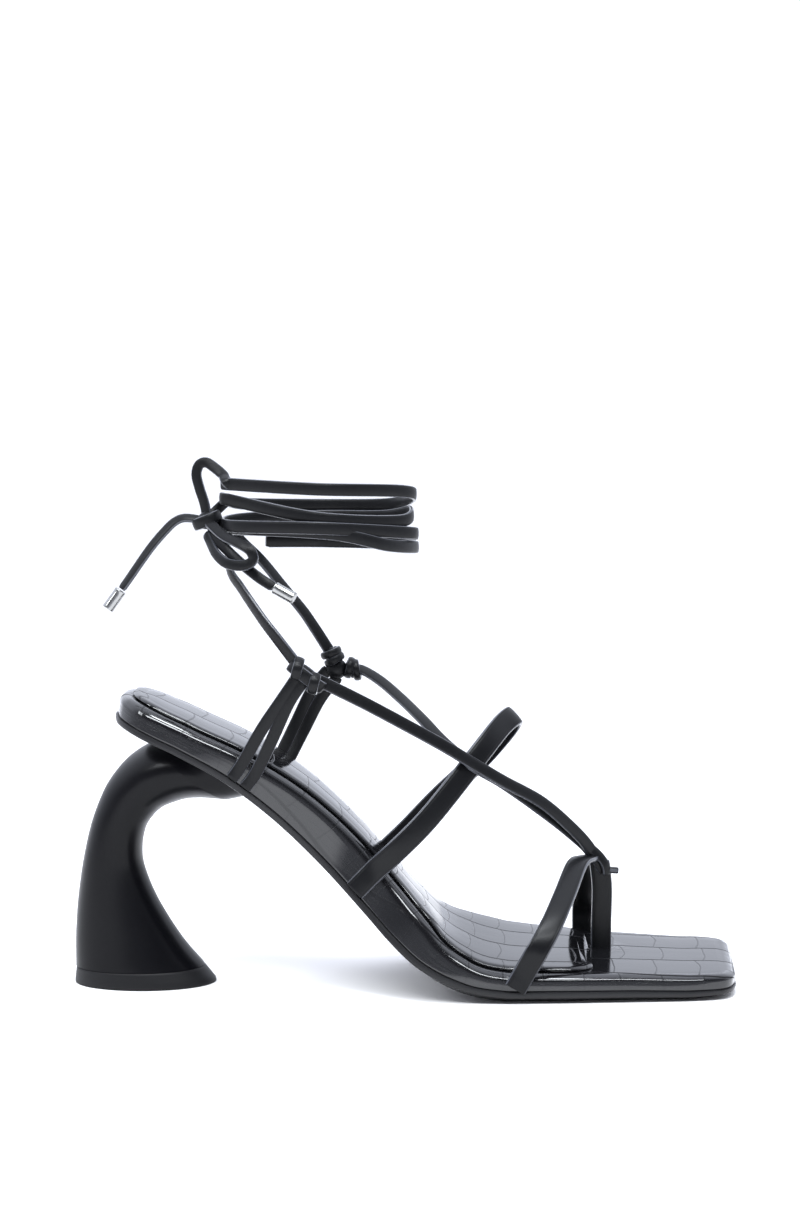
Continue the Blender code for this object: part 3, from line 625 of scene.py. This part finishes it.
lacquer, lacquer_shader, lacquer_place, _ = new_finish(
    "heel_lacquer", (0.002, 0.002, 0.003), 0.3, specular=0.1, coat=0.12, coat_roughness=0.2)
haze = noise(lacquer_place, 420.0, 4.0)
feed(lacquer_shader, "Roughness", haze * 0.12 + 0.27)
feed_relief(lacquer_shader, haze, 0.05, 0.1 * MM)
horn.data.materials.append(lacquer)
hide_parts("heel")

tip_half = HEEL_BASE_LENGTH / 2
tip_rings = []
for up, back, front, width in TOP_PIECE:
    tip_rings.append(oval(
        Vector((-back * tip_half - TIP_OVERHANG, 0, up * HEEL_TIP_THICKNESS)),
        Vector((front * tip_half, 0, up * HEEL_TIP_THICKNESS)),
        width * HEEL_BASE_WIDTH,
    ))
tip = turned_piece("heel_top_piece", tip_rings)
rubber, rubber_shader, rubber_place, _ = new_finish(
    "tip_rubber", (0.007, 0.007, 0.008), 0.5, specular=0.25)
feed_relief(rubber_shader, noise(rubber_place, 1500.0, 4.0), 0.2, 0.1 * MM)
tip.data.materials.append(rubber)
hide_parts("heel_tip")

# Foot straps
# Two 8 mm straps of smooth black leather with folded edges, fed under the footbed, and a toe post
# of doubled leather let into a slot.
STRAP_WIDTH = 8 * MM
STRAP_THICKNESS = 2 * MM
POST_WIDTH = 7.5 * MM
POST_THICKNESS = 3 * MM
POST_DEPTH = 4 * MM
STUB_WIDTH = 3 * MM
STUB_LENGTH = 4.3 * MM
VAMP_RISE = 43.5 * MM
INSTEP_RISE = 85 * MM
WALL_CLEARANCE = 0.1 * MM
UP = Vector((0, 0, 1))

# Rolled edge and crown of every strap, in thicknesses, and the share of its section left at an end
STRAP_ROLL = 0.42
STRAP_CROWN = 0.1
STRAP_TAPER = 0.82

# Roots on the footbed's side wall: share of the length, and height over the underside in mm
VAMP_OUTER_ROOT = ((0.688, 5.5), (0.693, 7.8), (0.701, 11.5))
VAMP_INNER_ROOT = ((0.802, 11.5), (0.802, 7.8), (0.802, 5.5))
INSTEP_OUTER_ROOT = ((0.411, 2.6), (0.410, 7.0), (0.409, 13.5))
INSTEP_INNER_ROOT = ((0.425, 13.5), (0.426, 7.0), (0.426, 2.6))

# Share of the sole's length, of the ball width and of the rise, and the way the face looks
VAMP_ARCH = (
    (0.719, -0.462, 0.46, 15),
    (0.740, -0.385, 0.65, 40),
    (0.760, -0.244, 0.835, 55),
    (0.780, -0.073, 1.01, 78),
    (0.796, 0.037, 1.02, 90),
    (0.805, 0.160, 0.98, 105),
    (0.806, 0.270, 0.87, 124),
    (0.804, 0.385, 0.67, 142),
    (0.802, 0.482, 0.46, 165),
)
INSTEP_ARCH = (
    (0.408, -0.330, 0.28, 0),
    (0.406, -0.311, 0.45, 10),
    (0.399, -0.250, 0.643, 22),
    (0.392, -0.159, 0.825, 38),
    (0.390, -0.049, 0.944, 62),
    (0.395, 0.037, 1.00, 90),
    (0.404, 0.122, 0.933, 122),
    (0.415, 0.232, 0.751, 150),
    (0.419, 0.311, 0.505, 168),
    (0.424, 0.335, 0.305, 178),
)

# Toe post over its slot: share of the length, of the ball width and of the vamp strap's rise
POST_ROUTE = (
    (POST_ALONG, POST_ACROSS, 0.40),
    (0.820, POST_ACROSS, 0.72),
    (0.818, 0.094, 0.88),
    (0.8155, 0.088, 0.985),
)


def strap_section(width, thickness):
    """Section of a flat strap: rolled edges, and two faces that are a little crowned."""
    half, deep = width / 2, thickness / 2
    roll = STRAP_ROLL * thickness
    rounded = []
    for corner_x, corner_y, start in ((1, 1, 0), (-1, 1, 90), (-1, -1, 180), (1, -1, 270)):
        for degrees in (0, 30, 60, 90):
            turn = math.radians(start + degrees)
            rounded.append((corner_x * (half - roll) + roll * math.cos(turn),
                            corner_y * (deep - roll) + roll * math.sin(turn)))
    section = []
    for (x0, y0), (x1, _) in zip(rounded, rounded[1:] + rounded[:1]):
        section.append((x0, y0))
        if abs(x1 - x0) > width / 3:
            for share in (0.25, 0.5, 0.75):
                x = x0 + (x1 - x0) * share
                crown = STRAP_CROWN * thickness * (1 - (x / half) ** 2)
                section.append((x, y0 + math.copysign(crown, y0)))
    return section


def strap(name, rows, width, thickness, finish, steps=7):
    """Flat strap through rows of a point and the way its face looks."""
    line = [(Vector(row[:3]), Vector(row[3:])) for row in
            curve_through([(*point, *facing) for point, facing in rows], steps)]
    section = strap_section(width, thickness)
    count = len(section)
    points, spread, faces = [], [], []
    travelled = 0.0
    for i, (point, facing) in enumerate(line):
        way = (line[min(i + 1, len(line) - 1)][0] - line[max(i - 1, 0)][0]).normalized()
        out = (facing - way * facing.dot(way)).normalized()
        side = way.cross(out)
        travelled += (point - line[max(i - 1, 0)][0]).length
        share = STRAP_TAPER if i in (0, len(line) - 1) else 1
        for x, y in section:
            points.append(point + side * x * share + out * y * share)
            spread.append((travelled, x / (width / 2)))
    for i in range(len(line) - 1):
        for k in range(count):
            j = (k + 1) % count
            faces.append((i * count + k, i * count + j, (i + 1) * count + j, (i + 1) * count + k))
    faces.append(tuple(range(count)))
    faces.append(tuple(range(len(points) - count, len(points))))
    piece = make_piece(name, points, faces, spread)
    piece.data.materials.append(finish)
    return piece


# How many times lighter than the face the edge is coloured, as a painted highlight along the rolled edges
EDGE_HIGHLIGHT = 14


def satin_leather(name, colour, roughness, crease):
    """Smooth leather with a fine grain, faint cross creases and a glossier edge, whose colour is lightened
    as a painted highlight.
    """
    finish, shader, place, spread = new_finish(
        name, colour, roughness, specular=0.16, coat=0.1, coat_roughness=0.25)
    axes = spread.node("ShaderNodeSeparateXYZ", {"Vector": spread})
    aside = Wire(axes.socket.node.outputs[1]).math("ABSOLUTE")
    edge = aside.smooth(0.86, 0.93)
    turned_edge = aside.smooth(0.66, 0.74) * (1 - aside.smooth(0.74, 0.82))
    grain = place.node("ShaderNodeTexVoronoi", {"Vector": place, "Scale": 2600.0})
    soft = noise(place, 300.0, 4.0)
    waves = {"Vector": spread, "Scale": 60.0, "Distortion": 6.0, "Detail": 2.0}
    folds = spread.node("ShaderNodeTexWave", waves, out="Fac")
    relief = grain * 0.25 + soft * 0.5 + folds * crease - turned_edge * 2.2
    feed_relief(shader, relief, 0.3, 0.15 * MM)
    feed(shader, "Roughness", soft * 0.14 + (roughness - 0.05) - edge * 0.1)
    feed(shader, "Coat Weight", edge * 0.75 + 0.1)
    # The base colour is made lighter at the edges: a painted highlight standing in for light caught on the
    # rolled edges
    painted_highlight = (*(EDGE_HIGHLIGHT * channel for channel in colour), 1)
    highlight_tint = edge.node("ShaderNodeMix", {0: edge, 6: (*colour, 1), 7: painted_highlight}, out=2, data_type="RGBA")
    feed(shader, "Base Color", highlight_tint)
    return finish


def wall_row(side, along, height, thickness):
    """Point and facing of a strap on the footbed's side wall."""
    column = 1 if side == OUTER else 2
    step = 0.02
    half, ahead, behind = (
        look_up(PLAN_LINE, along + shift)[column] * BALL_WIDTH for shift in (0, step, -step))
    _, forward, _ = sole_axes(along)
    facing = (INWARD * side - forward * (ahead - behind) / (2 * step * SOLE_LENGTH)).normalized()
    depth = thickness / 2 + WALL_CLEARANCE - LEDGE
    return on_sole(along, side * half, height) + facing * depth, facing


def foot_strap_rows(outer_root, arch, rise, inner_root):
    """Points and facings of a strap from the outer wall over the foot to the inner wall."""
    rows = [wall_row(OUTER, along, height * MM, STRAP_THICKNESS) for along, height in outer_root]
    for along, across, height, degrees in arch:
        _, _, normal = sole_axes(along)
        turn = math.radians(degrees)
        rows.append((on_sole(along, across * BALL_WIDTH, height * rise),
                     normal * math.sin(turn) - INWARD * math.cos(turn)))
    rows += [wall_row(INNER, along, height * MM, STRAP_THICKNESS) for along, height in inner_root]
    return rows


BLACK_LEATHER = (0.0036, 0.0038, 0.0046)
strap_leather = satin_leather("strap_leather", BLACK_LEATHER, 0.34, 0.0)
vamp_rows = foot_strap_rows(VAMP_OUTER_ROOT, VAMP_ARCH, VAMP_RISE, VAMP_INNER_ROOT)
instep_rows = foot_strap_rows(INSTEP_OUTER_ROOT, INSTEP_ARCH, INSTEP_RISE, INSTEP_INNER_ROOT)
post_foot = rim_height(POST_ALONG) - POST_DEPTH + GAP
post_rows = [(on_sole(POST_ALONG, POST_ACROSS * BALL_WIDTH, post_foot), -INWARD)]
for along, across, height in POST_ROUTE:
    post_rows.append((on_sole(along, across * BALL_WIDTH, height * VAMP_RISE), -INWARD))
vamp_strap = strap("vamp_strap", vamp_rows, STRAP_WIDTH, STRAP_THICKNESS, strap_leather)
instep_strap = strap("instep_strap", instep_rows, STRAP_WIDTH, STRAP_THICKNESS, strap_leather)
toe_post = strap("toe_post", post_rows, POST_WIDTH, POST_THICKNESS, strap_leather)
stub_start = on_sole(0.826, 0.088 * BALL_WIDTH, 0.908 * VAMP_RISE)
stub_rows = [(stub_start, UP), (stub_start + Vector((STUB_LENGTH, 0, -0.3 * MM)), UP)]
post_stub = strap("post_stub", stub_rows, STUB_WIDTH, STRAP_THICKNESS, strap_leather)

# Laces and rear loops
# One flat 4.5 mm lace a side: from the toe post it crosses the other one on the instep strap and
# is knotted to the pair of loops at the back of the arch.
LACE_WIDTH = 4.5 * MM
LACE_THICKNESS = 1.5 * MM
LOOP_RISE = 48 * MM
LOOP_ROOT_HEIGHT = 2.6 * MM
LOOP_WALL_HEIGHT = 9.5 * MM
# Side, shares of the length at root, middle and knot, then across at the middle and the knot
REAR_LOOPS = (
    (OUTER, 0.184, 0.180, 0.180, 0.362, 0.380),
    (OUTER, 0.205, 0.195, 0.187, 0.362, 0.380),
    (INNER, 0.226, 0.215, 0.206, 0.375, 0.395),
    (INNER, 0.240, 0.229, 0.220, 0.375, 0.395),
)
KNOT_OUTER = (0.185, -0.384, 1.00)
KNOT_INNER = ((0.202, 0.395, 1.10), (0.227, 0.395, 1.12))

# Share of the way, and how far each bows up and inward there, in lace widths
OUTER_LACE_BACK = ((0.33, 0.29, -0.20), (0.57, 0.29, -0.29), (0.82, 0.22, -0.30))
OUTER_LACE_FRONT = ((0.23, 0.62, -0.45), (0.53, 1.48, -0.55), (0.80, 1.30, -0.31), (0.93, 0.75, -0.15))
INNER_LACE_BACK = ((0.08, 0.44, 0.78), (0.24, 0.68, 1.29), (0.42, 0.60, 1.07), (0.60, 0.37, 0.38),
                   (0.77, 0.00, 0.00))
INNER_LACE_FRONT = ((0.24, 0.52, 0.10), (0.54, 0.80, 0.29), (0.76, 0.85, 0.33), (0.92, 0.60, 0.36))
OUTER_RISER = ((0.33, -0.91, -1.60), (0.52, -1.53, -1.91), (0.78, -2.18, -1.84), (0.95, -2.42, -1.69))
INNER_RISER = ((0.18, 0.36, 0.93), (0.30, 0.55, 1.27), (0.47, 0.47, 1.67), (0.69, 0.49, 1.44),
               (0.85, 0.15, 1.22))

# Lace's last turn round the top of the toe post, in mm
WRAP_WIDTH = 3.6 * MM
WRAP_ROUTE = ((158.5, 4.5, 50.2), (160.4, 5.0, 49.0), (164.6, 5.3, 45.3), (167.1, 5.5, 41.7),
              (167.8, 5.9, 38.0))


def between(start, end, rows):
    """Points between two ends: share of the way, then how far up and inward they bow."""
    return [start.lerp(end, share) + (UP * lift + INWARD * aside) * LACE_WIDTH
            for share, lift, aside in rows]


def with_facing(points, first, last):
    """Points with a facing that turns evenly from a first to a last one."""
    return [(point, first.lerp(last, i / (len(points) - 1))) for i, point in enumerate(points)]


def knot_place(along, across, height):
    return on_sole(along, across * BALL_WIDTH, height * LOOP_RISE)


lace_leather = satin_leather("lace_leather", BLACK_LEATHER, 0.36, 0.12)
crossing = (instep_rows[5][0] + instep_rows[6][0]) / 2
facing = (instep_rows[5][1] + instep_rows[6][1]).normalized()
lower = crossing + facing * ((STRAP_THICKNESS + LACE_THICKNESS) / 2)
higher = lower + facing * LACE_THICKNESS * 0.95
post_top = on_sole(0.818, 0.094 * BALL_WIDTH, 0.92 * VAMP_RISE)
knot_outer = knot_place(*KNOT_OUTER)
knot_inner = knot_place(*KNOT_INNER[1])
near = [knot_outer + Vector((2 * MM, 0, -0.5 * MM))]
near += between(knot_outer, higher, OUTER_LACE_BACK) + [higher]
near += between(higher, post_top, OUTER_LACE_FRONT) + [post_top + Vector((1.2 * MM, -0.6 * MM, -1.5 * MM))]
far = [knot_inner] + between(knot_inner, lower, INNER_LACE_BACK) + [lower]
far += between(lower, post_top, INNER_LACE_FRONT) + [post_top + Vector((-0.8 * MM, 0.6 * MM, -1.5 * MM))]
upper_pieces = [vamp_strap, instep_strap, toe_post, post_stub]
for name, points, first, crossed in (
    ("outer_lace", near, -INWARD + UP * 0.35, len(OUTER_LACE_BACK) + 1),
    ("inner_lace", far, -INWARD * 0.5 + UP, len(INNER_LACE_BACK) + 1),
):
    rows = with_facing(points[:crossed + 1], first, facing)
    rows += with_facing(points[crossed:], facing, -INWARD + UP * 0.6)[1:]
    upper_pieces.append(strap(name, rows, LACE_WIDTH, LACE_THICKNESS, lace_leather))
wrap_points = [Vector(point) * MM for point in WRAP_ROUTE]
wrap_rows = with_facing(wrap_points, Vector((0.4, -1, 0.6)), Vector((0.8, -0.9, 0.1)))
upper_pieces.append(strap("post_wrap", wrap_rows, WRAP_WIDTH, LACE_THICKNESS, lace_leather))
for name, (side, root, half_way, knot, middle_across, knot_across) in zip(
        ("outer_back_loop", "outer_front_loop", "inner_back_loop", "inner_front_loop"), REAR_LOOPS):
    rows = [wall_row(side, root, height, LACE_THICKNESS) for height in (LOOP_ROOT_HEIGHT, LOOP_WALL_HEIGHT)]
    for along, across, height in (
        (half_way, middle_across, 0.5), (knot, knot_across, 0.78), (knot, knot_across, 1.0),
    ):
        rows.append((on_sole(along, side * across * BALL_WIDTH, height * LOOP_RISE), INWARD * side))
    upper_pieces.append(strap(name, rows, LACE_WIDTH, LACE_THICKNESS, lace_leather))

# Side knots
# The lace is hitched round the two loops and pulled tight, so that it shows as a slanted band
# with a bulge at each end.
KNOT_MIDDLE = (0.213, 0.395, 1.04)
INNER_WRAP_WIDTH = 2.8 * MM


def knot_core(name, place, size, slant):
    """Rounded body of a pulled knot."""
    bpy.ops.object.select_all(action="DESELECT")
    bpy.ops.mesh.primitive_uv_sphere_add(segments=32, ring_count=20, radius=1)
    core = bpy.context.object
    core.name = name
    core.scale = size
    core.rotation_euler = (0, math.radians(slant), 0)
    core.location = place
    bpy.ops.object.transform_apply(location=True, rotation=True, scale=True)
    bpy.ops.object.shade_smooth()
    core.data.uv_layers[0].name = "spread"
    core.data.materials.append(lace_leather)
    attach(core, "root")
    return core


def hitch(name, centre, axis, half_long, half_deep, sweep, width=LACE_WIDTH):
    """Turn of lace round an axis, over a sweep in degrees."""
    axis = axis.normalized()
    side = axis.cross(-INWARD).normalized()
    pitch = 0.8 * MM
    rows = []
    steps = 14
    for k in range(steps + 1):
        turn = math.radians(sweep[0] + (sweep[1] - sweep[0]) * k / steps)
        way = side * math.sin(turn) * half_long - INWARD * math.cos(turn) * half_deep
        slide = axis * pitch * (k / steps - 0.5)
        rows.append((centre + way + slide, way.normalized()))
    return strap(name, rows, width, LACE_THICKNESS, lace_leather, steps=3)


upper_pieces.append(knot_core("outer_knot_core", knot_outer, (6.6 * MM, 2.6 * MM, 3.2 * MM), 38))
upper_pieces.append(hitch("outer_knot_band", knot_outer + Vector((0.5 * MM, 0, -0.4 * MM)),
                          Vector((0.62, 0, 0.78)), 6.6 * MM, 3.2 * MM, (-115, 115)))
slant = Vector((0.788, 0, -0.616))
for name, shift, size, sweep in (
    ("outer_knot_top_wrap", -3.6 * MM, 3.5 * MM, (-160, 60)),
    ("outer_knot_low_wrap", 4.2 * MM, 3.3 * MM, (-70, 160)),
):
    upper_pieces.append(hitch(name, knot_outer + slant * shift, slant + UP * 0.35, size, 4.3 * MM, sweep,
                              WRAP_WIDTH))
for i, (place, lean) in enumerate(zip(KNOT_INNER, (Vector((-0.45, 0, 0.9)), Vector((0.9, 0, -0.3))))):
    centre = knot_place(*place)
    upper_pieces.append(knot_core(f"inner_knot_core_{i}", centre, (2.9 * MM, 2.8 * MM, 3.6 * MM), -15))
    for k, shift in enumerate((-1.3 * MM, 1.5 * MM)):
        upper_pieces.append(hitch(f"inner_knot_{i}_wrap_{k}", centre + lean * shift, lean + UP * (0.4 * k),
                                  3.2 * MM, 3.3 * MM, (-175, 150), INNER_WRAP_WIDTH))
upper_pieces.append(knot_core("inner_knot_middle", knot_place(*KNOT_MIDDLE), (4 * MM, 3 * MM, 4 * MM), 0))
for piece in upper_pieces:
    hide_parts("upper")

# Ankle tie
# The two laces go up from the knots and are wound nearly four times round the ankle, flat side to
# the leg; shown as worn, though no leg is there.
ANKLE_DEPTH = 67.5 * MM
ANKLE_WIDTH = 56 * MM
ANKLE_CENTRE = 63 * MM
TIE_HEIGHT = 168 * MM
RISER_START = 2 * MM
# Turns from the back round the outer side, height in lace widths, distance in thicknesses
WINDING = (
    (0.035, 3.00, -0.7),
    (0.050, 3.00, 0.1),
    (0.070, 2.98, 0.6),
    (0.250, 2.69, 0.6),
    (0.420, 2.44, 0.1),
    (0.500, 1.87, -0.2),
    (0.625, 1.15, 0.6),
    (0.750, 1.02, 0.6),
    (0.900, 1.20, 0.5),
    (1.000, 1.70, 0.2),
    (1.060, 1.68, -0.4),
    (1.250, 0.44, -0.8),
    (1.420, 0.07, -0.8),
    (1.500, 0.70, -0.8),
    (1.625, 0.18, -0.9),
    (1.750, 0.11, -0.9),
    (1.900, 0.00, -0.4),
    (2.000, -0.22, 0.6),
    (2.100, -0.31, 0.8),
    (2.250, -0.31, 0.8),
    (2.420, -0.80, 0.6),
    (2.500, -1.07, 0.2),
    (2.625, -1.10, -0.2),
    (2.750, -1.05, -0.2),
    (2.860, -1.00, -0.4),
    (3.000, -0.65, -1.2),
    (3.120, -0.50, -1.1),
    (3.280, -0.80, -1.0),
    (3.380, -1.75, 0.2),
    (3.500, -2.12, 0.8),
    (3.625, -2.08, 1.1),
    (3.750, -2.02, 1.1),
    (3.850, -1.95, 1.0),
)


def winding_point(turns, rise, spread):
    """Point and facing on the winding round the ankle."""
    angle = math.tau * turns
    away = Vector((-math.cos(angle) / ANKLE_DEPTH, -math.sin(angle) / ANKLE_WIDTH, 0)).normalized()
    ring = Vector((ANKLE_CENTRE - ANKLE_DEPTH / 2 * math.cos(angle), -ANKLE_WIDTH / 2 * math.sin(angle), 0))
    return ring + away * spread * LACE_THICKNESS + UP * (TIE_HEIGHT + rise * LACE_WIDTH), away


winding_rows = [winding_point(*row) for row in WINDING]
ankle_pieces = [
    strap("ankle_winding", winding_rows, LACE_WIDTH, LACE_THICKNESS, lace_leather, steps=9)]
for name, side, knot, end, bow in (
    ("outer_riser", OUTER, knot_place(*KNOT_OUTER), (2.020, -0.62, -0.2), OUTER_RISER),
    ("inner_riser", INNER, knot_place(*KNOT_INNER[0]), (1.975, -0.62, -0.2), INNER_RISER),
):
    last, last_facing = winding_point(*end)
    points = between(knot, last, bow)
    start = knot + (points[0] - knot).normalized() * RISER_START
    rows = with_facing([start] + points + [last], Vector((-0.4, 0.9 * side, -0.3)), last_facing)
    ankle_pieces.append(strap(name, rows, LACE_WIDTH, LACE_THICKNESS, lace_leather))
for piece in ankle_pieces:
    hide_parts("ankle_tie")

# Bow
# The ends are tied in a small bow at the back, with two loops and two tails, all of the same flat
# leather lace, pulled a little narrower.
BOW_KNOT = Vector((23.0, -4.6, 168.3)) * MM
TIE_WIDTH = 3.8 * MM
BAND_WIDTH = 4.2 * MM
LINK_SAG = 0.6 * MM

# Share of the way to the knot's middle that each cord runs on inside it, and the place where the
# upper loop leaves the winding
IN_KNOT = 0.6
LOOP_ROOT = Vector((32.4, -11.0, 180.4)) * MM

# Links between the knot and the winding: both ends, in mm
LINKS = {
    "bow_link_high": ((24.5, -4.6, 170.0), (29.6, 0.5, 175.0)),
    "bow_link_low": ((24.0, -4.6, 166.8), (30.4, -1.5, 166.0)),
}

# Route of each cord, in metres
CORDS = {
    "bow_loop_upper": (
        (0.0306, -0.0126, 0.1822),
        (0.0298, -0.0108, 0.1834),
        (0.0290, -0.0084, 0.1846),
        (0.0260, -0.0062, 0.1870),
        (0.0228, -0.0044, 0.1889),
        (0.0202, -0.0036, 0.1880),
        (0.0192, -0.0038, 0.1846),
        (0.0203, -0.0042, 0.1798),
        (0.0217, -0.0045, 0.1756),
        (0.0224, -0.0046, 0.1727),
    ),
    "bow_loop_lower": (
        (0.0228, -0.0062, 0.1636),
        (0.0243, -0.0086, 0.1606),
        (0.0268, -0.0136, 0.1567),
        (0.0310, -0.0190, 0.1537),
        (0.0371, -0.0228, 0.1532),
        (0.0406, -0.0240, 0.1552),
        (0.0394, -0.0234, 0.1586),
        (0.0349, -0.0200, 0.1610),
        (0.0296, -0.0146, 0.1632),
        (0.0246, -0.0090, 0.1670),
    ),
    "tie_end_left": (
        (0.0187, -0.0045, 0.1686),
        (0.0150, -0.0044, 0.1691),
        (0.0112, -0.0046, 0.1676),
        (0.0074, -0.0050, 0.1639),
        (0.0034, -0.0058, 0.1592),
        (-0.0004, -0.0068, 0.1539),
        (-0.0043, -0.0076, 0.1482),
        (-0.0074, -0.0081, 0.1438),
    ),
    "tie_end_right": (
        (0.0252, -0.0069, 0.1649),
        (0.0272, -0.0106, 0.1616),
        (0.0314, -0.0150, 0.1576),
        (0.0370, -0.0192, 0.1529),
        (0.0430, -0.0216, 0.1484),
        (0.0476, -0.0230, 0.1457),
    ),
}
# Ways that each cord's face looks at its first and last point
FACINGS = {
    "bow_loop_upper": ((0.3, -1, 0.2), (-0.6, -1, 0.1)),
    "bow_loop_lower": ((-0.8, -1, -0.3), (0.2, -1, 0.8)),
    "tie_end_left": ((0.1, -0.7, 0.9), (-0.85, -0.8, 0.5)),
    "tie_end_right": ((-0.5, -1, 0), (-0.2, -1, 0.5)),
}

knot_pieces = [
    knot_core("bow_knot_core", BOW_KNOT, (3.8 * MM, 3.0 * MM, 3.2 * MM), -20),
    hitch("bow_knot_band", BOW_KNOT, Vector((-0.34, 0, 0.94)), 4.6 * MM, 3.7 * MM, (-150, 150), BAND_WIDTH),
]
for name, ends in LINKS.items():
    start, end = (Vector(point) * MM for point in ends)
    middle = start.lerp(end, 0.5) - INWARD * LINK_SAG
    rows = [(point, -INWARD) for point in (start, middle, end)]
    knot_pieces.append(strap(name, rows, TIE_WIDTH, LACE_THICKNESS, lace_leather))
for piece in knot_pieces:
    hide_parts("bow_knot")
ties = {}
for name, route in CORDS.items():
    first, last = (Vector(way).normalized() for way in FACINGS[name])
    route = [Vector(point) for point in route]
    if name.startswith("tie_end"):
        route[0] = BOW_KNOT.lerp(route[0], IN_KNOT)
    else:
        route.append(route[-1].lerp(BOW_KNOT, IN_KNOT))
    if name == "bow_loop_upper":
        route.insert(0, LOOP_ROOT)
    smooth = [Vector(row) for row in curve_through([tuple(point) for point in route], 4)]
    rows = with_facing(smooth, first, last)
    piece = strap(f"{name}_lace", rows, TIE_WIDTH, LACE_THICKNESS, lace_leather, steps=1)
    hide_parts(name)
    ties[name] = piece, smooth

# Aglets
# Strips of bright metal rolled round the ends of the lace and pinned: tubes with an open seam, a
# rolled mouth, the dent of the crimping pin and a closed end.
AGLET_LENGTH = 8.2 * MM
AGLET_WIDTH = 4.4 * MM
AGLET_START = 0.45 * MM
AGLET_SIDES = 96
# Seam: its half angle and its depth as a share of the radius; then the pin's dent beside it
SEAM_ANGLE, SEAM_DEPTH = 0.09, 0.16
PIN_SHARE, PIN_TURN = 0.26, 1.1
PIN_SIZE, PIN_SHARPNESS, PIN_DEPTH = 0.9 * MM, 2.1, 0.14
# Tie that each is crimped on, its far end, and the seam's turn in degrees
AGLET_ENDS = {
    "aglet_left": ("tie_end_left", (-0.0116, -0.0088, 0.1379), 200),
    "aglet_right": ("tie_end_right", (0.0560, -0.0254, 0.1412), 160),
}
# Share of the length, and of the width there
AGLET_PROFILE = (
    (0.000, 0.800), (0.020, 0.960), (0.060, 1.000), (0.120, 0.970), (0.180, 0.955), (0.260, 0.955),
    (0.340, 0.960), (0.500, 0.965), (0.700, 0.965), (0.880, 0.970), (0.950, 0.965), (0.985, 0.930),
    (1.000, 0.840),
)


def turned_from(turn, angle):
    """Turn seen from an angle, between half a turn back and half a turn on."""
    return math.atan2(math.sin(turn - angle), math.cos(turn - angle))


metal, metal_shader, metal_place, _ = new_finish("polished_metal", (0.34, 0.34, 0.335), 0.2, metallic=1.0)
feed(metal_shader, "Roughness", noise(metal_place, 700.0, 4.0) * 0.18 + 0.12)
aglet_pieces = {}
for name, (tie, end, seam_degrees) in AGLET_ENDS.items():
    start = Vector(CORDS[tie][-1])
    way = (Vector(end) - start).normalized()
    side = way.cross(INWARD).normalized()
    front = side.cross(way)
    seam = math.radians(seam_degrees)
    lines = []
    for i in range(AGLET_SIDES):
        turn = math.tau * i / AGLET_SIDES
        notch = SEAM_DEPTH * math.exp(-(turned_from(turn, seam) / SEAM_ANGLE) ** 2)
        aside = turned_from(turn, seam + PIN_TURN) * PIN_SHARPNESS
        line = []
        for share, wide in AGLET_PROFILE:
            beyond = (share - PIN_SHARE) * AGLET_LENGTH / PIN_SIZE
            dent = PIN_DEPTH * math.exp(-(aside**2 + beyond**2))
            radius = AGLET_WIDTH / 2 * wide * (1 - notch - dent)
            line.append(tuple(start + way * (AGLET_START + share * AGLET_LENGTH)
                              + (side * math.cos(turn) - front * math.sin(turn)) * radius))
        lines.append(curve_through(line, 3))
    aglet = turned_piece(f"{name}_tube", [[Vector(point) for point in ring] for ring in zip(*lines)])
    aglet.data.materials.append(metal)
    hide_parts(name)
    aglet_pieces[tie] = aglet

for name, far_end, with_pieces in (
    ("bow_loop_upper", "knot", knot_pieces),
    ("bow_loop_lower", "knot", []),
    ("tie_end_left", "fitting", [aglet_pieces["tie_end_left"]]),
    ("tie_end_right", "fitting", [aglet_pieces["tie_end_right"]]),
):
    piece, route = ties[name]
    length = sum((b - a).length for a, b in zip(route, route[1:]))
